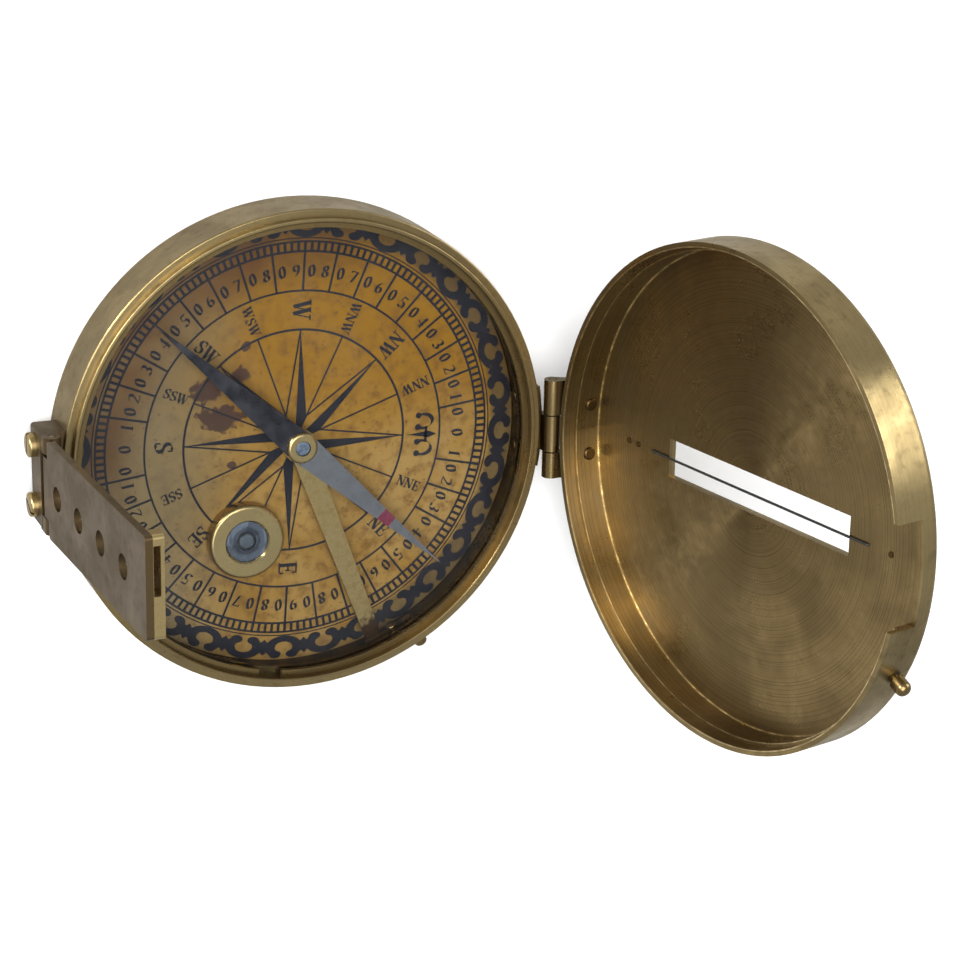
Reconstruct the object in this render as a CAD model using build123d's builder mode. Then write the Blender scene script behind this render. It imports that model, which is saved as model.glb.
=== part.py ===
from build123d import *
import os
from math import asin, cos, degrees, radians, sin

os.makedirs("parts", exist_ok=True)

# Brass sighting compass in a round case with a hinged lid and a folding sight vane.
# Millimetres. Origin: centre of the flat base. +Z up. The lid hinge lies at +X, the vane at -X.
# An azimuth is in degrees, clockwise from +X when seen from above.

# ---------------------------------------------------------------- driving dimensions
# case
case_radius = 38.0
wall = 1.9
floor_thickness = 1.6
shoulder = 1.2
spigot_height = 1.0
rim_margin = 0.2
foot_edge_radius = 0.6
shoulder_edge_radius = 0.25
rim_edge_radius = 0.18

# dial, from the floor up
plate_thickness = 0.65
card_thickness = 0.15
dial_gap = 0.1
post_hole_radius = 1.8

# bull's-eye level
level_radius = 5.95
level_bore = 3.3
level_height = 2.3
level_floor = 0.5
level_fluid_depth = 1.2
level_glass_thickness = 0.5
level_from_centre = 17.0
level_azimuth = 119.4
level_edge_radius = 0.55
level_bore_chamfer = 0.25
level_glass_edge_radius = 0.2
bubble_radius = 1.6
bubble_height = 0.45
bubble_edge_radius = 0.3
bubble_gap = 0.02

# needle lifter
lifter_sink = 0.1
lifter_thickness = 0.6
lifter_ring_radius = 2.6
lifter_ring_bore = 1.3
lifter_ring_overlap = 0.4
lifter_root_width = 3.6
lifter_end_width = 2.5
lifter_azimuth = 69.8
lifter_end_gap = 0.5
fulcrum_radius = 20.0
fulcrum_drop = 0.65
fulcrum_pin_radius = 0.4
fulcrum_lug_wall = 0.45
fulcrum_lug_width = 1.0
fulcrum_ear = 0.65
fulcrum_side_gap = 0.12
fulcrum_length = 2.0
fulcrum_saddle = 0.4
fulcrum_top_gap = 0.2

# needle
lift_gap = 0.35
needle_thickness = 0.35
needle_half_width = 2.4
needle_tip_margin = 4.5
needle_azimuth = 43.2
cap_radius = 2.45
cap_sleeve_radius = 1.7
cap_bore = 1.2
cap_height = 0.6
jewel_recess_radius = 0.7
jewel_recess_depth = 0.55
pivot_radius = 0.3
pivot_tip = 0.9
pivot_socket = 1.0
pivot_end_radius = 0.04
pivot_clearance = 0.02
jewel_sink = 0.05
jewel_edge_radius = 0.2
post_radius = 0.8
post_drop = 0.2
post_foot_radius = 1.6
post_foot_rise = 0.4
post_foot_edge_radius = 0.2

# glass
needle_lift = 0.45
glass_gap = 0.35
glass_thickness = 0.9
glass_edge_gap = 0.05
ring_width = 0.95
seat_ring_height = 0.7
snap_ring_height = 0.7
snap_ring_gap_degrees = 6.0
snap_ring_gap_azimuth = 100.0

# needle lock: a rocker inside the wall, worked by a stud outside it
rocker_thickness = 0.8
rocker_wall_gap = 0.35
rocker_half_height = 0.45
rocker_rest_gap = 0.2
rocker_boss_radius = 0.9
rocker_pin_radius = 0.5
rocker_pin_head_radius = 0.95
rocker_pin_head_height = 0.4
rocker_pin_head_gap = 0.05
rocker_pin_edge_radius = 0.15
rocker_azimuth = 64.6
rocker_tail_azimuth = 72.3
stud_azimuth = 60.0
stud_neck_radius = 0.75
stud_tenon_radius = 0.28
stud_head_radius = 1.05
stud_head_gap = 0.5
stud_reach = 2.6
stud_play = 0.35
stud_travel = 0.45

# fits
cut_margin = 1.0
running_gap = 0.05
seat_gap = 0.15
rivet_gap = 0.03
head_relief = 0.03

# lid
lid_height = 7.65
lid_base = 1.2
lid_wall = 1.5
lid_edge_radius = 1.2
rebate_depth = 2.1
spigot_gap = 0.35
lid_angle = 103.5
notch_width = 15.8
notch_depth = 4.55
slot_width = 6.1
slot_near_end = 18.95
slot_far_end = 21.2
wire_radius = 0.2
wire_overrun = 4.0
wire_peg_radius = 0.5
wire_peg_length = 0.6
face_pin_radius = 0.45
face_pin_dome = 0.15
far_pin_from_wall = 6.8
near_pins_from_wall = (7.8, 10.0)
lid_stud_azimuth = 154.0
lid_stud_from_base = 1.95
lid_stud_radius = 0.75
lid_stud_head = 1.2
lid_stud_reach = 2.9
lid_stud_inner_head = 0.5
lid_stud_inner_edge_radius = 0.2
lid_stud_head_gap = 0.45

# lid hinge
hinge_stand_off = 1.95
knuckle_radius = 1.35
hinge_pin_radius = 0.6
knuckle_gap = 0.2
hinge_half_length = 7.95
middle_knuckle = (-3.6, 2.2)
leaf_thickness = 0.9
leaf_half_width = 7.9
case_leaf_half_width = 6.4
case_leaf_foot = 1.8
lid_leaf_margin = 0.5
lid_leaf_from_base = 1.75
leaf_root_height = 1.2
leaf_wall_gap = 0.4
hinge_rivet_spread = 4.2
hinge_rivet_radius = 0.6
hinge_rivet_head = 1.0
hinge_rivet_dome = 0.4
hinge_rivet_edge_radius = 0.25
hinge_pin_edge_radius = 0.15
case_rivet_height = 4.0
lid_rivet_from_base = 1.85

# sight vane and its bracket
vane_width = 15.0
vane_thickness = 1.1
vane_length = 44.3
vane_lean = 3.6
vane_hole_radius = 1.85
vane_hole_count = 4
vane_hole_pitch = 9.6
vane_first_hole = 6.2
vane_corner_radius = 0.6
vane_shoulder = 1.9
vane_face_offset = 0.3
fold_gap = 0.4
vane_pin_radius = 0.55
vane_knuckle_radius = 1.3
vane_stand_off = 1.7
bracket_width = 15.0
bracket_foot = 3.0
bracket_ear = 2.5
bracket_gap = 0.3
bracket_ear_radius = 1.35
bracket_ear_root = 1.0
bracket_edge_radius = 0.5
bracket_reach = 3.0
bracket_screw_spread = 4.65
bracket_screw_height = 4.8
bracket_screw_radius = 0.9
bracket_screw_head = 1.85
bracket_screw_head_height = 1.1
bracket_screw_edge_radius = 0.4
bracket_screw_wall_left = 0.4
screw_slot_turns = (60, 0)
screw_slot_width = 0.45
screw_slot_depth = 0.5
tip_height = 3.0
tip_depth = 1.6
tip_slot_width = 1.0
tip_slot_wall = 0.05
tip_slot_low = -1.2
tip_slot_high = 6.0

# ---------------------------------------------------------------- derived heights and radii
bore_radius = case_radius - wall
spigot_radius = case_radius - shoulder
dial_top = floor_thickness + plate_thickness + card_thickness
level_top = dial_top + level_height
lifter_bottom = level_top - lifter_sink
lifter_top = lifter_bottom + lifter_thickness
needle_bottom = lifter_top + lift_gap
needle_top = needle_bottom + needle_thickness
cap_top = needle_top + cap_height
glass_bottom = cap_top + needle_lift + glass_gap
glass_top = glass_bottom + glass_thickness
case_height = glass_top + snap_ring_height + rim_margin
rim_top = case_height + spigot_height
ring_bore = bore_radius - ring_width

hinge_x = case_radius + hinge_stand_off
hinge_z = case_height
lid_bore = case_radius - lid_wall
rebate_radius = spigot_radius + spigot_gap
lid_inner_height = lid_height - lid_base
lid_stud_height = lid_inner_height - lid_stud_from_base
lid_rivet_height = lid_inner_height - lid_rivet_from_base
lid_leaf_height = lid_height - lid_leaf_from_base

vane_x = -(case_radius + vane_stand_off)
vane_z = rim_top + fold_gap - vane_face_offset


def spoke(azimuth):
    """Unit vector that points outward at this azimuth."""
    return Vector(cos(radians(azimuth)), -sin(radians(azimuth)), 0)


def radial_plane(azimuth, radius, height):
    """Plane that faces outward at this azimuth."""
    return Plane(origin=spoke(azimuth) * radius + Vector(0, 0, height), z_dir=spoke(azimuth))


def radial_frame(azimuth, radius, height):
    """Level plane with its x axis outward at this azimuth."""
    return Plane(
        origin=spoke(azimuth) * radius + Vector(0, 0, height),
        x_dir=spoke(azimuth),
        z_dir=(0, 0, 1),
    )


def side(y):
    """Upright plane at this y: sketch x is X, sketch y is Z, and it faces -Y."""
    return Plane.XZ.offset(-y)


# The lid's own frame: origin at the centre of its rim, x towards the hinge, z from rim to base.
turn = radians(lid_angle)
lid_frame = Plane(
    origin=(
        hinge_x - hinge_x * cos(turn) + seat_gap * sin(turn),
        0,
        hinge_z + hinge_x * sin(turn) + seat_gap * cos(turn),
    ),
    x_dir=(cos(turn), 0, -sin(turn)),
    z_dir=(sin(turn), 0, cos(turn)),
)
lid_side = Plane(origin=lid_frame.origin, x_dir=lid_frame.x_dir, z_dir=(0, -1, 0))

# The vane's outer face: x is Y, y runs up the vane from its pin, z points inward.
lean = radians(vane_lean)
face_distance = vane_face_offset + vane_thickness
vane_face = Plane(
    origin=(
        vane_x - face_distance * cos(lean),
        0,
        vane_z + face_distance * sin(lean),
    ),
    x_dir=(0, 1, 0),
    z_dir=(cos(lean), 0, -sin(lean)),
)


def in_lid(azimuth, radius, height):
    """Plane in the lid that faces outward at this azimuth of the lid's own frame."""
    outward = spoke(azimuth)
    origin = lid_frame.from_local_coords(outward * radius + Vector(0, 0, height))
    tip = lid_frame.from_local_coords(outward * (radius + 1) + Vector(0, 0, height))
    return Plane(origin=origin, z_dir=tip - origin)


def ring_segment(frame, inner, outer, start_azimuth, end_azimuth):
    """Sector of a ring on a frame, between two azimuths."""
    middle_azimuth = (start_azimuth + end_azimuth) / 2
    with BuildSketch(frame) as sector:
        with BuildLine():
            a = spoke(start_azimuth)
            b = spoke(middle_azimuth)
            c = spoke(end_azimuth)
            outer_arc = ThreePointArc(a * outer, b * outer, c * outer)
            inner_arc = ThreePointArc(a * inner, b * inner, c * inner)
            Line(outer_arc @ 0, inner_arc @ 0)
            Line(outer_arc @ 1, inner_arc @ 1)
        make_face()
    return sector.sketch


def disc(plane, radius):
    """Round face on a plane, for pins, heads and bores."""
    with BuildSketch(plane) as face:
        Circle(radius)
    return face.sketch


def nearest_rim(piece, radius, point):
    """The round edge of this radius that lies nearest a point."""
    rims = piece.edges().filter_by(GeomType.CIRCLE)
    same_size = rims.filter_by(lambda edge: abs(edge.radius - radius) < 0.01)
    return same_size.sort_by_distance(point)[0]


def save(piece, name):
    piece.part.label = name
    export_step(piece.part, f"parts/{name}.step")


# ---------------------------------------------------------------- case
hinge_rivet_azimuth = degrees(asin(hinge_rivet_spread / case_radius))
stud_slot_top = lifter_top + rocker_rest_gap + stud_neck_radius + stud_play + stud_travel
stud_slot_low = lifter_top + rocker_rest_gap - stud_neck_radius - stud_play
stud_height = lifter_top + rocker_rest_gap

with BuildPart() as case_body:
    with BuildSketch():
        Circle(case_radius)
    extrude(amount=case_height)
    with BuildSketch(Plane.XY.offset(case_height)):
        Circle(spigot_radius)
    extrude(amount=spigot_height)
    with BuildSketch(Plane.XY.offset(floor_thickness)):
        Circle(bore_radius)
    extrude(amount=rim_top, mode=Mode.SUBTRACT)
    fillet(case_body.edges().filter_by(GeomType.CIRCLE).group_by(Axis.Z)[0], foot_edge_radius)
    fillet(case_body.edges().filter_by(GeomType.CIRCLE).group_by(Axis.Z)[-1], rim_edge_radius)
    shoulder_edges = case_body.edges().filter_by_position(Axis.Z, case_height - 0.01, case_height + 0.01)
    fillet(shoulder_edges.sort_by(SortBy.LENGTH)[-1], shoulder_edge_radius)
    with BuildSketch():
        Circle(post_radius + rivet_gap)
    extrude(amount=floor_thickness, mode=Mode.SUBTRACT)
    # upright slot for the lock stud
    stud_slot_middle = (stud_slot_top + stud_slot_low) / 2
    with BuildSketch(radial_plane(stud_azimuth, bore_radius - cut_margin, stud_slot_middle)):
        SlotOverall(stud_slot_top - stud_slot_low, 2 * (stud_neck_radius + stud_play), rotation=90)
    extrude(amount=wall + 2 * cut_margin, mode=Mode.SUBTRACT)
    # holes for the rocker's rivet and the two hinge rivets
    extrude(
        disc(
            radial_plane(rocker_azimuth, bore_radius - cut_margin, stud_height),
            rocker_pin_radius + rivet_gap,
        ),
        amount=wall + 2 * cut_margin,
        mode=Mode.SUBTRACT,
    )
    for rivet_side in (-1, 1):
        hole = radial_plane(rivet_side * hinge_rivet_azimuth, bore_radius - cut_margin, case_rivet_height)
        extrude(
            disc(hole, hinge_rivet_radius + rivet_gap), amount=wall + 2 * cut_margin, mode=Mode.SUBTRACT)
    # blind holes for the bracket's screws
    for y in (-bracket_screw_spread, bracket_screw_spread):
        screw_hole = Plane(origin=(-case_radius, y, bracket_screw_height), z_dir=(1, 0, 0))
        extrude(
            disc(screw_hole, bracket_screw_radius + rivet_gap),
            amount=wall - bracket_screw_wall_left + rivet_gap,
            mode=Mode.SUBTRACT,
        )
save(case_body, "case_body")

# ---------------------------------------------------------------- dial
with BuildPart() as dial_plate:
    with BuildSketch(Plane.XY.offset(floor_thickness)):
        Circle(bore_radius - dial_gap)
        Circle(post_hole_radius, mode=Mode.SUBTRACT)
    extrude(amount=plate_thickness)
save(dial_plate, "dial_plate")

with BuildPart() as dial_card:
    with BuildSketch(Plane.XY.offset(floor_thickness + plate_thickness)):
        Circle(bore_radius - dial_gap)
        Circle(post_hole_radius, mode=Mode.SUBTRACT)
    extrude(amount=card_thickness)
save(dial_card, "dial_card")

foot_top = dial_top + post_foot_rise
with BuildPart() as pivot_post:
    with BuildSketch():
        Circle(post_radius)
    extrude(amount=lifter_top - post_drop)
    with BuildSketch(Plane.XY.offset(floor_thickness)):
        Circle(post_foot_radius)
    extrude(amount=foot_top - floor_thickness)
    with BuildSketch(Plane.XY.offset(lifter_bottom - pivot_socket)):
        Circle(pivot_radius)
    extrude(amount=2 * pivot_socket, mode=Mode.SUBTRACT)
    foot_edges = pivot_post.edges().filter_by_position(Axis.Z, foot_top - 0.01, foot_top + 0.01)
    fillet(foot_edges.sort_by(SortBy.LENGTH)[-1], post_foot_edge_radius)
save(pivot_post, "pivot_post")

pivot_top = needle_bottom + jewel_recess_depth - pivot_clearance
with BuildPart() as pivot_point:
    with BuildSketch(Plane.XZ):
        with BuildLine():
            Polyline(
                (0, lifter_bottom - pivot_socket),
                (pivot_radius, lifter_bottom - pivot_socket),
                (pivot_radius, pivot_top - pivot_tip),
                (pivot_end_radius, pivot_top),
                (0, pivot_top),
                close=True,
            )
        make_face()
    revolve(axis=Axis.Z)
save(pivot_point, "pivot_point")

# ---------------------------------------------------------------- bull's-eye level
level_centre = spoke(level_azimuth) * level_from_centre
level_frame = Plane(origin=level_centre + Vector(0, 0, dial_top))

with BuildPart() as level_housing:
    with BuildSketch(level_frame):
        Circle(level_radius)
    extrude(amount=level_height)
    outer_top = level_housing.edges().group_by(Axis.Z)[-1]
    fillet(outer_top, level_edge_radius)
    with BuildSketch(level_frame.offset(level_floor)):
        Circle(level_bore)
    extrude(amount=level_height, mode=Mode.SUBTRACT)
    inner_top = level_housing.edges().group_by(Axis.Z)[-1].sort_by(SortBy.LENGTH)[0]
    chamfer(inner_top, level_bore_chamfer)
save(level_housing, "level_housing")

fluid_top = level_floor + level_fluid_depth
with BuildPart() as level_fluid:
    with BuildSketch(level_frame.offset(level_floor)):
        Circle(level_bore - running_gap)
    extrude(amount=level_fluid_depth)
    with BuildSketch(level_frame.offset(fluid_top)):
        Circle(bubble_radius)
    extrude(amount=-bubble_height, mode=Mode.SUBTRACT)
save(level_fluid, "level_fluid")

with BuildPart() as level_bubble:
    with BuildSketch(level_frame.offset(fluid_top)):
        Circle(bubble_radius - bubble_gap)
    extrude(amount=-(bubble_height - bubble_gap))
    fillet(level_bubble.edges().group_by(Axis.Z)[0], bubble_edge_radius)
save(level_bubble, "level_bubble")

with BuildPart() as level_glass:
    with BuildSketch(level_frame.offset(fluid_top)):
        Circle(level_bore - running_gap)
    extrude(amount=level_glass_thickness)
    fillet(level_glass.edges().group_by(Axis.Z)[-1], level_glass_edge_radius)
save(level_glass, "level_glass")

# ---------------------------------------------------------------- needle lifter and its fulcrum
fulcrum_z = lifter_bottom - fulcrum_drop
bar_end = bore_radius - lifter_end_gap
bar_frame = radial_frame(lifter_azimuth, 0, lifter_bottom)
bar_side = Plane(
    origin=spoke(lifter_azimuth) * fulcrum_radius + Vector(0, 0, fulcrum_z),
    x_dir=spoke(lifter_azimuth),
    z_dir=spoke(lifter_azimuth + 90),
)
lug_radius = fulcrum_pin_radius + fulcrum_lug_wall
ear_inner = fulcrum_lug_width / 2 + fulcrum_side_gap
ear_outer = ear_inner + fulcrum_ear

with BuildPart() as lifter_bar:
    with BuildSketch(bar_frame):
        with BuildLine():
            Polyline(
                (lifter_ring_bore + lifter_ring_overlap, -lifter_root_width / 2),
                (bar_end, -lifter_end_width / 2),
                (bar_end, lifter_end_width / 2),
                (lifter_ring_bore + lifter_ring_overlap, lifter_root_width / 2),
                close=True,
            )
        make_face()
        Circle(lifter_ring_radius)
        Circle(lifter_ring_bore, mode=Mode.SUBTRACT)
    extrude(amount=lifter_thickness)
    # lug for the fulcrum pin
    with BuildSketch(bar_side.offset(-fulcrum_lug_width / 2)):
        Circle(lug_radius)
        with Locations((0, fulcrum_drop / 2)):
            Rectangle(2 * lug_radius, fulcrum_drop)
        Circle(fulcrum_pin_radius + running_gap, mode=Mode.SUBTRACT)
    extrude(amount=fulcrum_lug_width)
save(lifter_bar, "lifter_bar")

fulcrum_frame = radial_frame(lifter_azimuth, fulcrum_radius, dial_top)
ear_top = lifter_bottom - dial_top - fulcrum_top_gap
with BuildPart() as fulcrum_bracket:
    with BuildSketch(fulcrum_frame):
        Rectangle(fulcrum_length, 2 * ear_outer)
    extrude(amount=ear_top)
    with BuildSketch(fulcrum_frame.offset(fulcrum_saddle)):
        Rectangle(fulcrum_length, 2 * ear_inner)
    extrude(amount=ear_top, mode=Mode.SUBTRACT)
    with BuildSketch(bar_side.offset(-ear_outer)):
        Circle(fulcrum_pin_radius + rivet_gap)
    extrude(amount=2 * ear_outer, mode=Mode.SUBTRACT)
save(fulcrum_bracket, "fulcrum_bracket")

with BuildPart() as fulcrum_pin:
    with BuildSketch(bar_side.offset(-ear_outer)):
        Circle(fulcrum_pin_radius)
    extrude(amount=2 * ear_outer)
save(fulcrum_pin, "fulcrum_pin")

# ---------------------------------------------------------------- needle
needle_frame = radial_frame(needle_azimuth, 0, needle_bottom)
needle_tip = bore_radius - needle_tip_margin
with BuildPart() as needle:
    with BuildSketch(needle_frame):
        with BuildLine():
            Polyline(
                (needle_tip, 0),
                (0, needle_half_width),
                (-needle_tip, 0),
                (0, -needle_half_width),
                close=True,
            )
        make_face()
        Circle(cap_sleeve_radius + rivet_gap, mode=Mode.SUBTRACT)
    extrude(amount=needle_thickness)
save(needle, "needle")

with BuildPart() as needle_cap:
    with BuildSketch(Plane.XY.offset(needle_bottom)):
        Circle(cap_sleeve_radius)
    extrude(amount=needle_thickness)
    with BuildSketch(Plane.XY.offset(needle_top)):
        Circle(cap_radius)
    extrude(amount=cap_height)
    fillet(needle_cap.edges().group_by(Axis.Z)[-1], cap_height * 0.8)
    with BuildSketch(Plane.XY.offset(needle_bottom)):
        Circle(cap_bore)
    extrude(amount=needle_thickness + cap_height, mode=Mode.SUBTRACT)
save(needle_cap, "needle_cap")

with BuildPart() as needle_jewel:
    with BuildSketch(Plane.XY.offset(needle_bottom)):
        Circle(cap_bore - running_gap)
    extrude(amount=cap_top - needle_bottom - jewel_sink)
    fillet(needle_jewel.edges().group_by(Axis.Z)[-1], jewel_edge_radius)
    with BuildSketch(Plane.XZ):
        with BuildLine():
            Polyline(
                (0, needle_bottom),
                (jewel_recess_radius, needle_bottom),
                (0, needle_bottom + jewel_recess_depth),
                close=True,
            )
        make_face()
    revolve(axis=Axis.Z, mode=Mode.SUBTRACT)
save(needle_jewel, "needle_jewel")

# ---------------------------------------------------------------- glass and its rings
with BuildPart() as glass_seat_ring:
    with BuildSketch(Plane.XY.offset(glass_bottom - seat_ring_height)):
        Circle(bore_radius)
        Circle(ring_bore, mode=Mode.SUBTRACT)
    extrude(amount=seat_ring_height)
save(glass_seat_ring, "glass_seat_ring")

with BuildPart() as cover_glass:
    with BuildSketch(Plane.XY.offset(glass_bottom)):
        Circle(bore_radius - glass_edge_gap)
    extrude(amount=glass_thickness)
save(cover_glass, "cover_glass")

with BuildPart() as glass_snap_ring:
    half_gap = snap_ring_gap_degrees / 2
    extrude(
        ring_segment(
            Plane.XY.offset(glass_top),
            ring_bore,
            bore_radius,
            snap_ring_gap_azimuth + half_gap,
            snap_ring_gap_azimuth + 360 - half_gap,
        ),
        amount=snap_ring_height,
    )
save(glass_snap_ring, "glass_snap_ring")

# ---------------------------------------------------------------- needle lock
rocker_outer = bore_radius - rocker_wall_gap
rocker_inner = rocker_outer - rocker_thickness
head_azimuth = stud_azimuth - degrees(rocker_boss_radius / case_radius)
rocker_axis_plane = radial_plane(rocker_azimuth, rocker_inner, stud_height)

with BuildPart() as lock_rocker:
    extrude(
        ring_segment(
            Plane.XY.offset(stud_height - rocker_half_height),
            rocker_inner,
            rocker_outer,
            head_azimuth,
            rocker_azimuth,
        ),
        amount=2 * rocker_half_height,
    )
    extrude(
        ring_segment(
            Plane.XY.offset(stud_height),
            rocker_inner,
            rocker_outer,
            rocker_azimuth,
            rocker_tail_azimuth,
        ),
        amount=rocker_half_height,
    )
    extrude(disc(rocker_axis_plane, rocker_boss_radius), amount=rocker_thickness)
    extrude(
        disc(rocker_axis_plane.offset(-cut_margin), rocker_pin_radius + running_gap),
        amount=rocker_thickness + 2 * cut_margin,
        mode=Mode.SUBTRACT,
    )
    extrude(
        disc(radial_plane(stud_azimuth, rocker_inner - cut_margin, stud_height), stud_tenon_radius),
        amount=rocker_thickness + 2 * cut_margin,
        mode=Mode.SUBTRACT,
    )
save(lock_rocker, "lock_rocker")

rivet_head_plane = rocker_axis_plane.offset(-rocker_pin_head_height - rocker_pin_head_gap)
rivet_shank_plane = rocker_axis_plane.offset(-2 * rocker_pin_head_gap)
with BuildPart() as rocker_rivet:
    extrude(disc(rivet_head_plane, rocker_pin_head_radius), amount=rocker_pin_head_height)
    fillet(rocker_rivet.edges(), rocker_pin_edge_radius)
    extrude(disc(rivet_shank_plane, rocker_pin_radius), amount=case_radius - rocker_inner)
save(rocker_rivet, "rocker_rivet")

with BuildPart() as lock_stud:
    extrude(
        disc(radial_plane(stud_azimuth, rocker_inner, stud_height), stud_tenon_radius),
        amount=rocker_thickness,
    )
    extrude(
        disc(radial_plane(stud_azimuth, rocker_outer, stud_height), stud_neck_radius),
        amount=case_radius + stud_head_gap + rivet_gap - rocker_outer,
    )
    extrude(
        disc(radial_plane(stud_azimuth, case_radius + stud_head_gap, stud_height), stud_head_radius),
        amount=stud_reach - stud_head_gap,
    )
    stud_end = radial_plane(stud_azimuth, case_radius + stud_reach, stud_height).origin
    fillet(nearest_rim(lock_stud, stud_head_radius, stud_end), stud_head_radius * 0.6)
save(lock_stud, "lock_stud")

# ---------------------------------------------------------------- lid
with BuildPart() as lid_shell:
    with BuildSketch(lid_frame):
        Circle(case_radius)
    extrude(amount=lid_height)
    base_centre = lid_frame.offset(lid_height).origin
    fillet(nearest_rim(lid_shell, case_radius, base_centre), lid_edge_radius)
    with BuildSketch(lid_frame):
        Circle(lid_bore)
    extrude(amount=lid_inner_height, mode=Mode.SUBTRACT)
    with BuildSketch(lid_frame):
        Circle(rebate_radius)
    extrude(amount=rebate_depth, mode=Mode.SUBTRACT)
    # sighting slot
    with BuildSketch(lid_frame.offset(lid_inner_height - cut_margin)):
        with Locations(((slot_near_end - slot_far_end) / 2, 0)):
            Rectangle(slot_near_end + slot_far_end, slot_width)
    extrude(amount=lid_base + 2 * cut_margin, mode=Mode.SUBTRACT)
    # notch that lets the folded vane and its hinge through
    with BuildSketch(lid_frame.offset(-cut_margin)):
        with Locations((-case_radius, 0)):
            Rectangle(6 * lid_wall, notch_width)
    extrude(amount=notch_depth + cut_margin, mode=Mode.SUBTRACT)
    # holes for the wire's ends and the pegs that hold them
    for x in (slot_near_end + wire_overrun, -slot_far_end - wire_overrun):
        with BuildSketch(lid_frame.offset(lid_inner_height - cut_margin)):
            with Locations((x, 0)):
                Circle(wire_radius + rivet_gap)
        extrude(amount=lid_base + 2 * cut_margin, mode=Mode.SUBTRACT)
        with BuildSketch(lid_frame.offset(lid_height - wire_peg_length)):
            with Locations((x, 0)):
                Circle(wire_peg_radius + rivet_gap)
        extrude(amount=wire_peg_length + cut_margin, mode=Mode.SUBTRACT)
    # holes for the face pins
    face_pin_places = [far_pin_from_wall - lid_bore]
    face_pin_places += [lid_bore - distance for distance in near_pins_from_wall]
    with BuildSketch(lid_frame.offset(lid_inner_height - cut_margin)):
        with Locations(*[(x, 0) for x in face_pin_places]):
            Circle(face_pin_radius + rivet_gap)
    extrude(amount=lid_base + 2 * cut_margin, mode=Mode.SUBTRACT)
    # holes for the thumb stud and the two hinge rivets
    extrude(
        disc(in_lid(lid_stud_azimuth, lid_bore - cut_margin, lid_stud_height), lid_stud_radius + rivet_gap),
        amount=lid_wall + 2 * cut_margin,
        mode=Mode.SUBTRACT,
    )
    for rivet_side in (-1, 1):
        hole = in_lid(rivet_side * hinge_rivet_azimuth, lid_bore - cut_margin, lid_rivet_height)
        extrude(
            disc(hole, hinge_rivet_radius + rivet_gap), amount=lid_wall + 2 * cut_margin, mode=Mode.SUBTRACT)
save(lid_shell, "lid_shell")

wire_height = lid_inner_height - wire_radius
wire_near = slot_near_end + wire_overrun
wire_far = slot_far_end + wire_overrun
wire_end = lid_height - wire_peg_length - rivet_gap
with BuildPart() as sight_wire:
    with BuildLine(lid_side) as wire_line:
        FilletPolyline(
            (wire_near, wire_end),
            (wire_near, wire_height),
            (-wire_far, wire_height),
            (-wire_far, wire_end),
            radius=wire_radius * 1.5,
        )
    with BuildSketch(Plane(origin=wire_line.line @ 0, z_dir=wire_line.line % 0)):
        Circle(wire_radius)
    sweep(path=wire_line.line)
save(sight_wire, "sight_wire")

with BuildPart() as wire_pegs:
    with BuildSketch(lid_frame.offset(lid_height - wire_peg_length)):
        with Locations((wire_near, 0), (-wire_far, 0)):
            Circle(wire_peg_radius)
    extrude(amount=wire_peg_length)
save(wire_pegs, "wire_pegs")

with BuildPart() as lid_face_pins:
    with BuildSketch(lid_frame.offset(lid_inner_height - face_pin_dome)):
        with Locations(*[(x, 0) for x in face_pin_places]):
            Circle(face_pin_radius)
    extrude(amount=lid_base + face_pin_dome)
save(lid_face_pins, "lid_face_pins")

inner_head_radius = lid_bore - head_relief - lid_stud_inner_head
with BuildPart() as lid_stud:
    extrude(
        disc(in_lid(lid_stud_azimuth, inner_head_radius, lid_stud_height), lid_stud_head),
        amount=lid_stud_inner_head,
    )
    fillet(lid_stud.edges(), lid_stud_inner_edge_radius)
    extrude(
        disc(in_lid(lid_stud_azimuth, lid_bore - lid_stud_inner_head / 2, lid_stud_height), lid_stud_radius),
        amount=lid_wall + lid_stud_inner_head / 2 + lid_stud_head_gap + rivet_gap,
    )
    extrude(
        disc(in_lid(lid_stud_azimuth, case_radius + lid_stud_head_gap, lid_stud_height), lid_stud_head),
        amount=lid_stud_reach - lid_stud_head_gap,
    )
    knob_end = in_lid(lid_stud_azimuth, case_radius + lid_stud_reach, lid_stud_height).origin
    fillet(nearest_rim(lid_stud, lid_stud_head, knob_end), lid_stud_head * 0.85)
save(lid_stud, "lid_stud")

# ---------------------------------------------------------------- lid hinge
case_leaf_top = hinge_z - knuckle_radius
leaf_limit = degrees(asin(leaf_half_width / case_radius))
case_leaf_limit = degrees(asin(case_leaf_half_width / case_radius))
leaf_outer = case_radius + leaf_thickness

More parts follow.
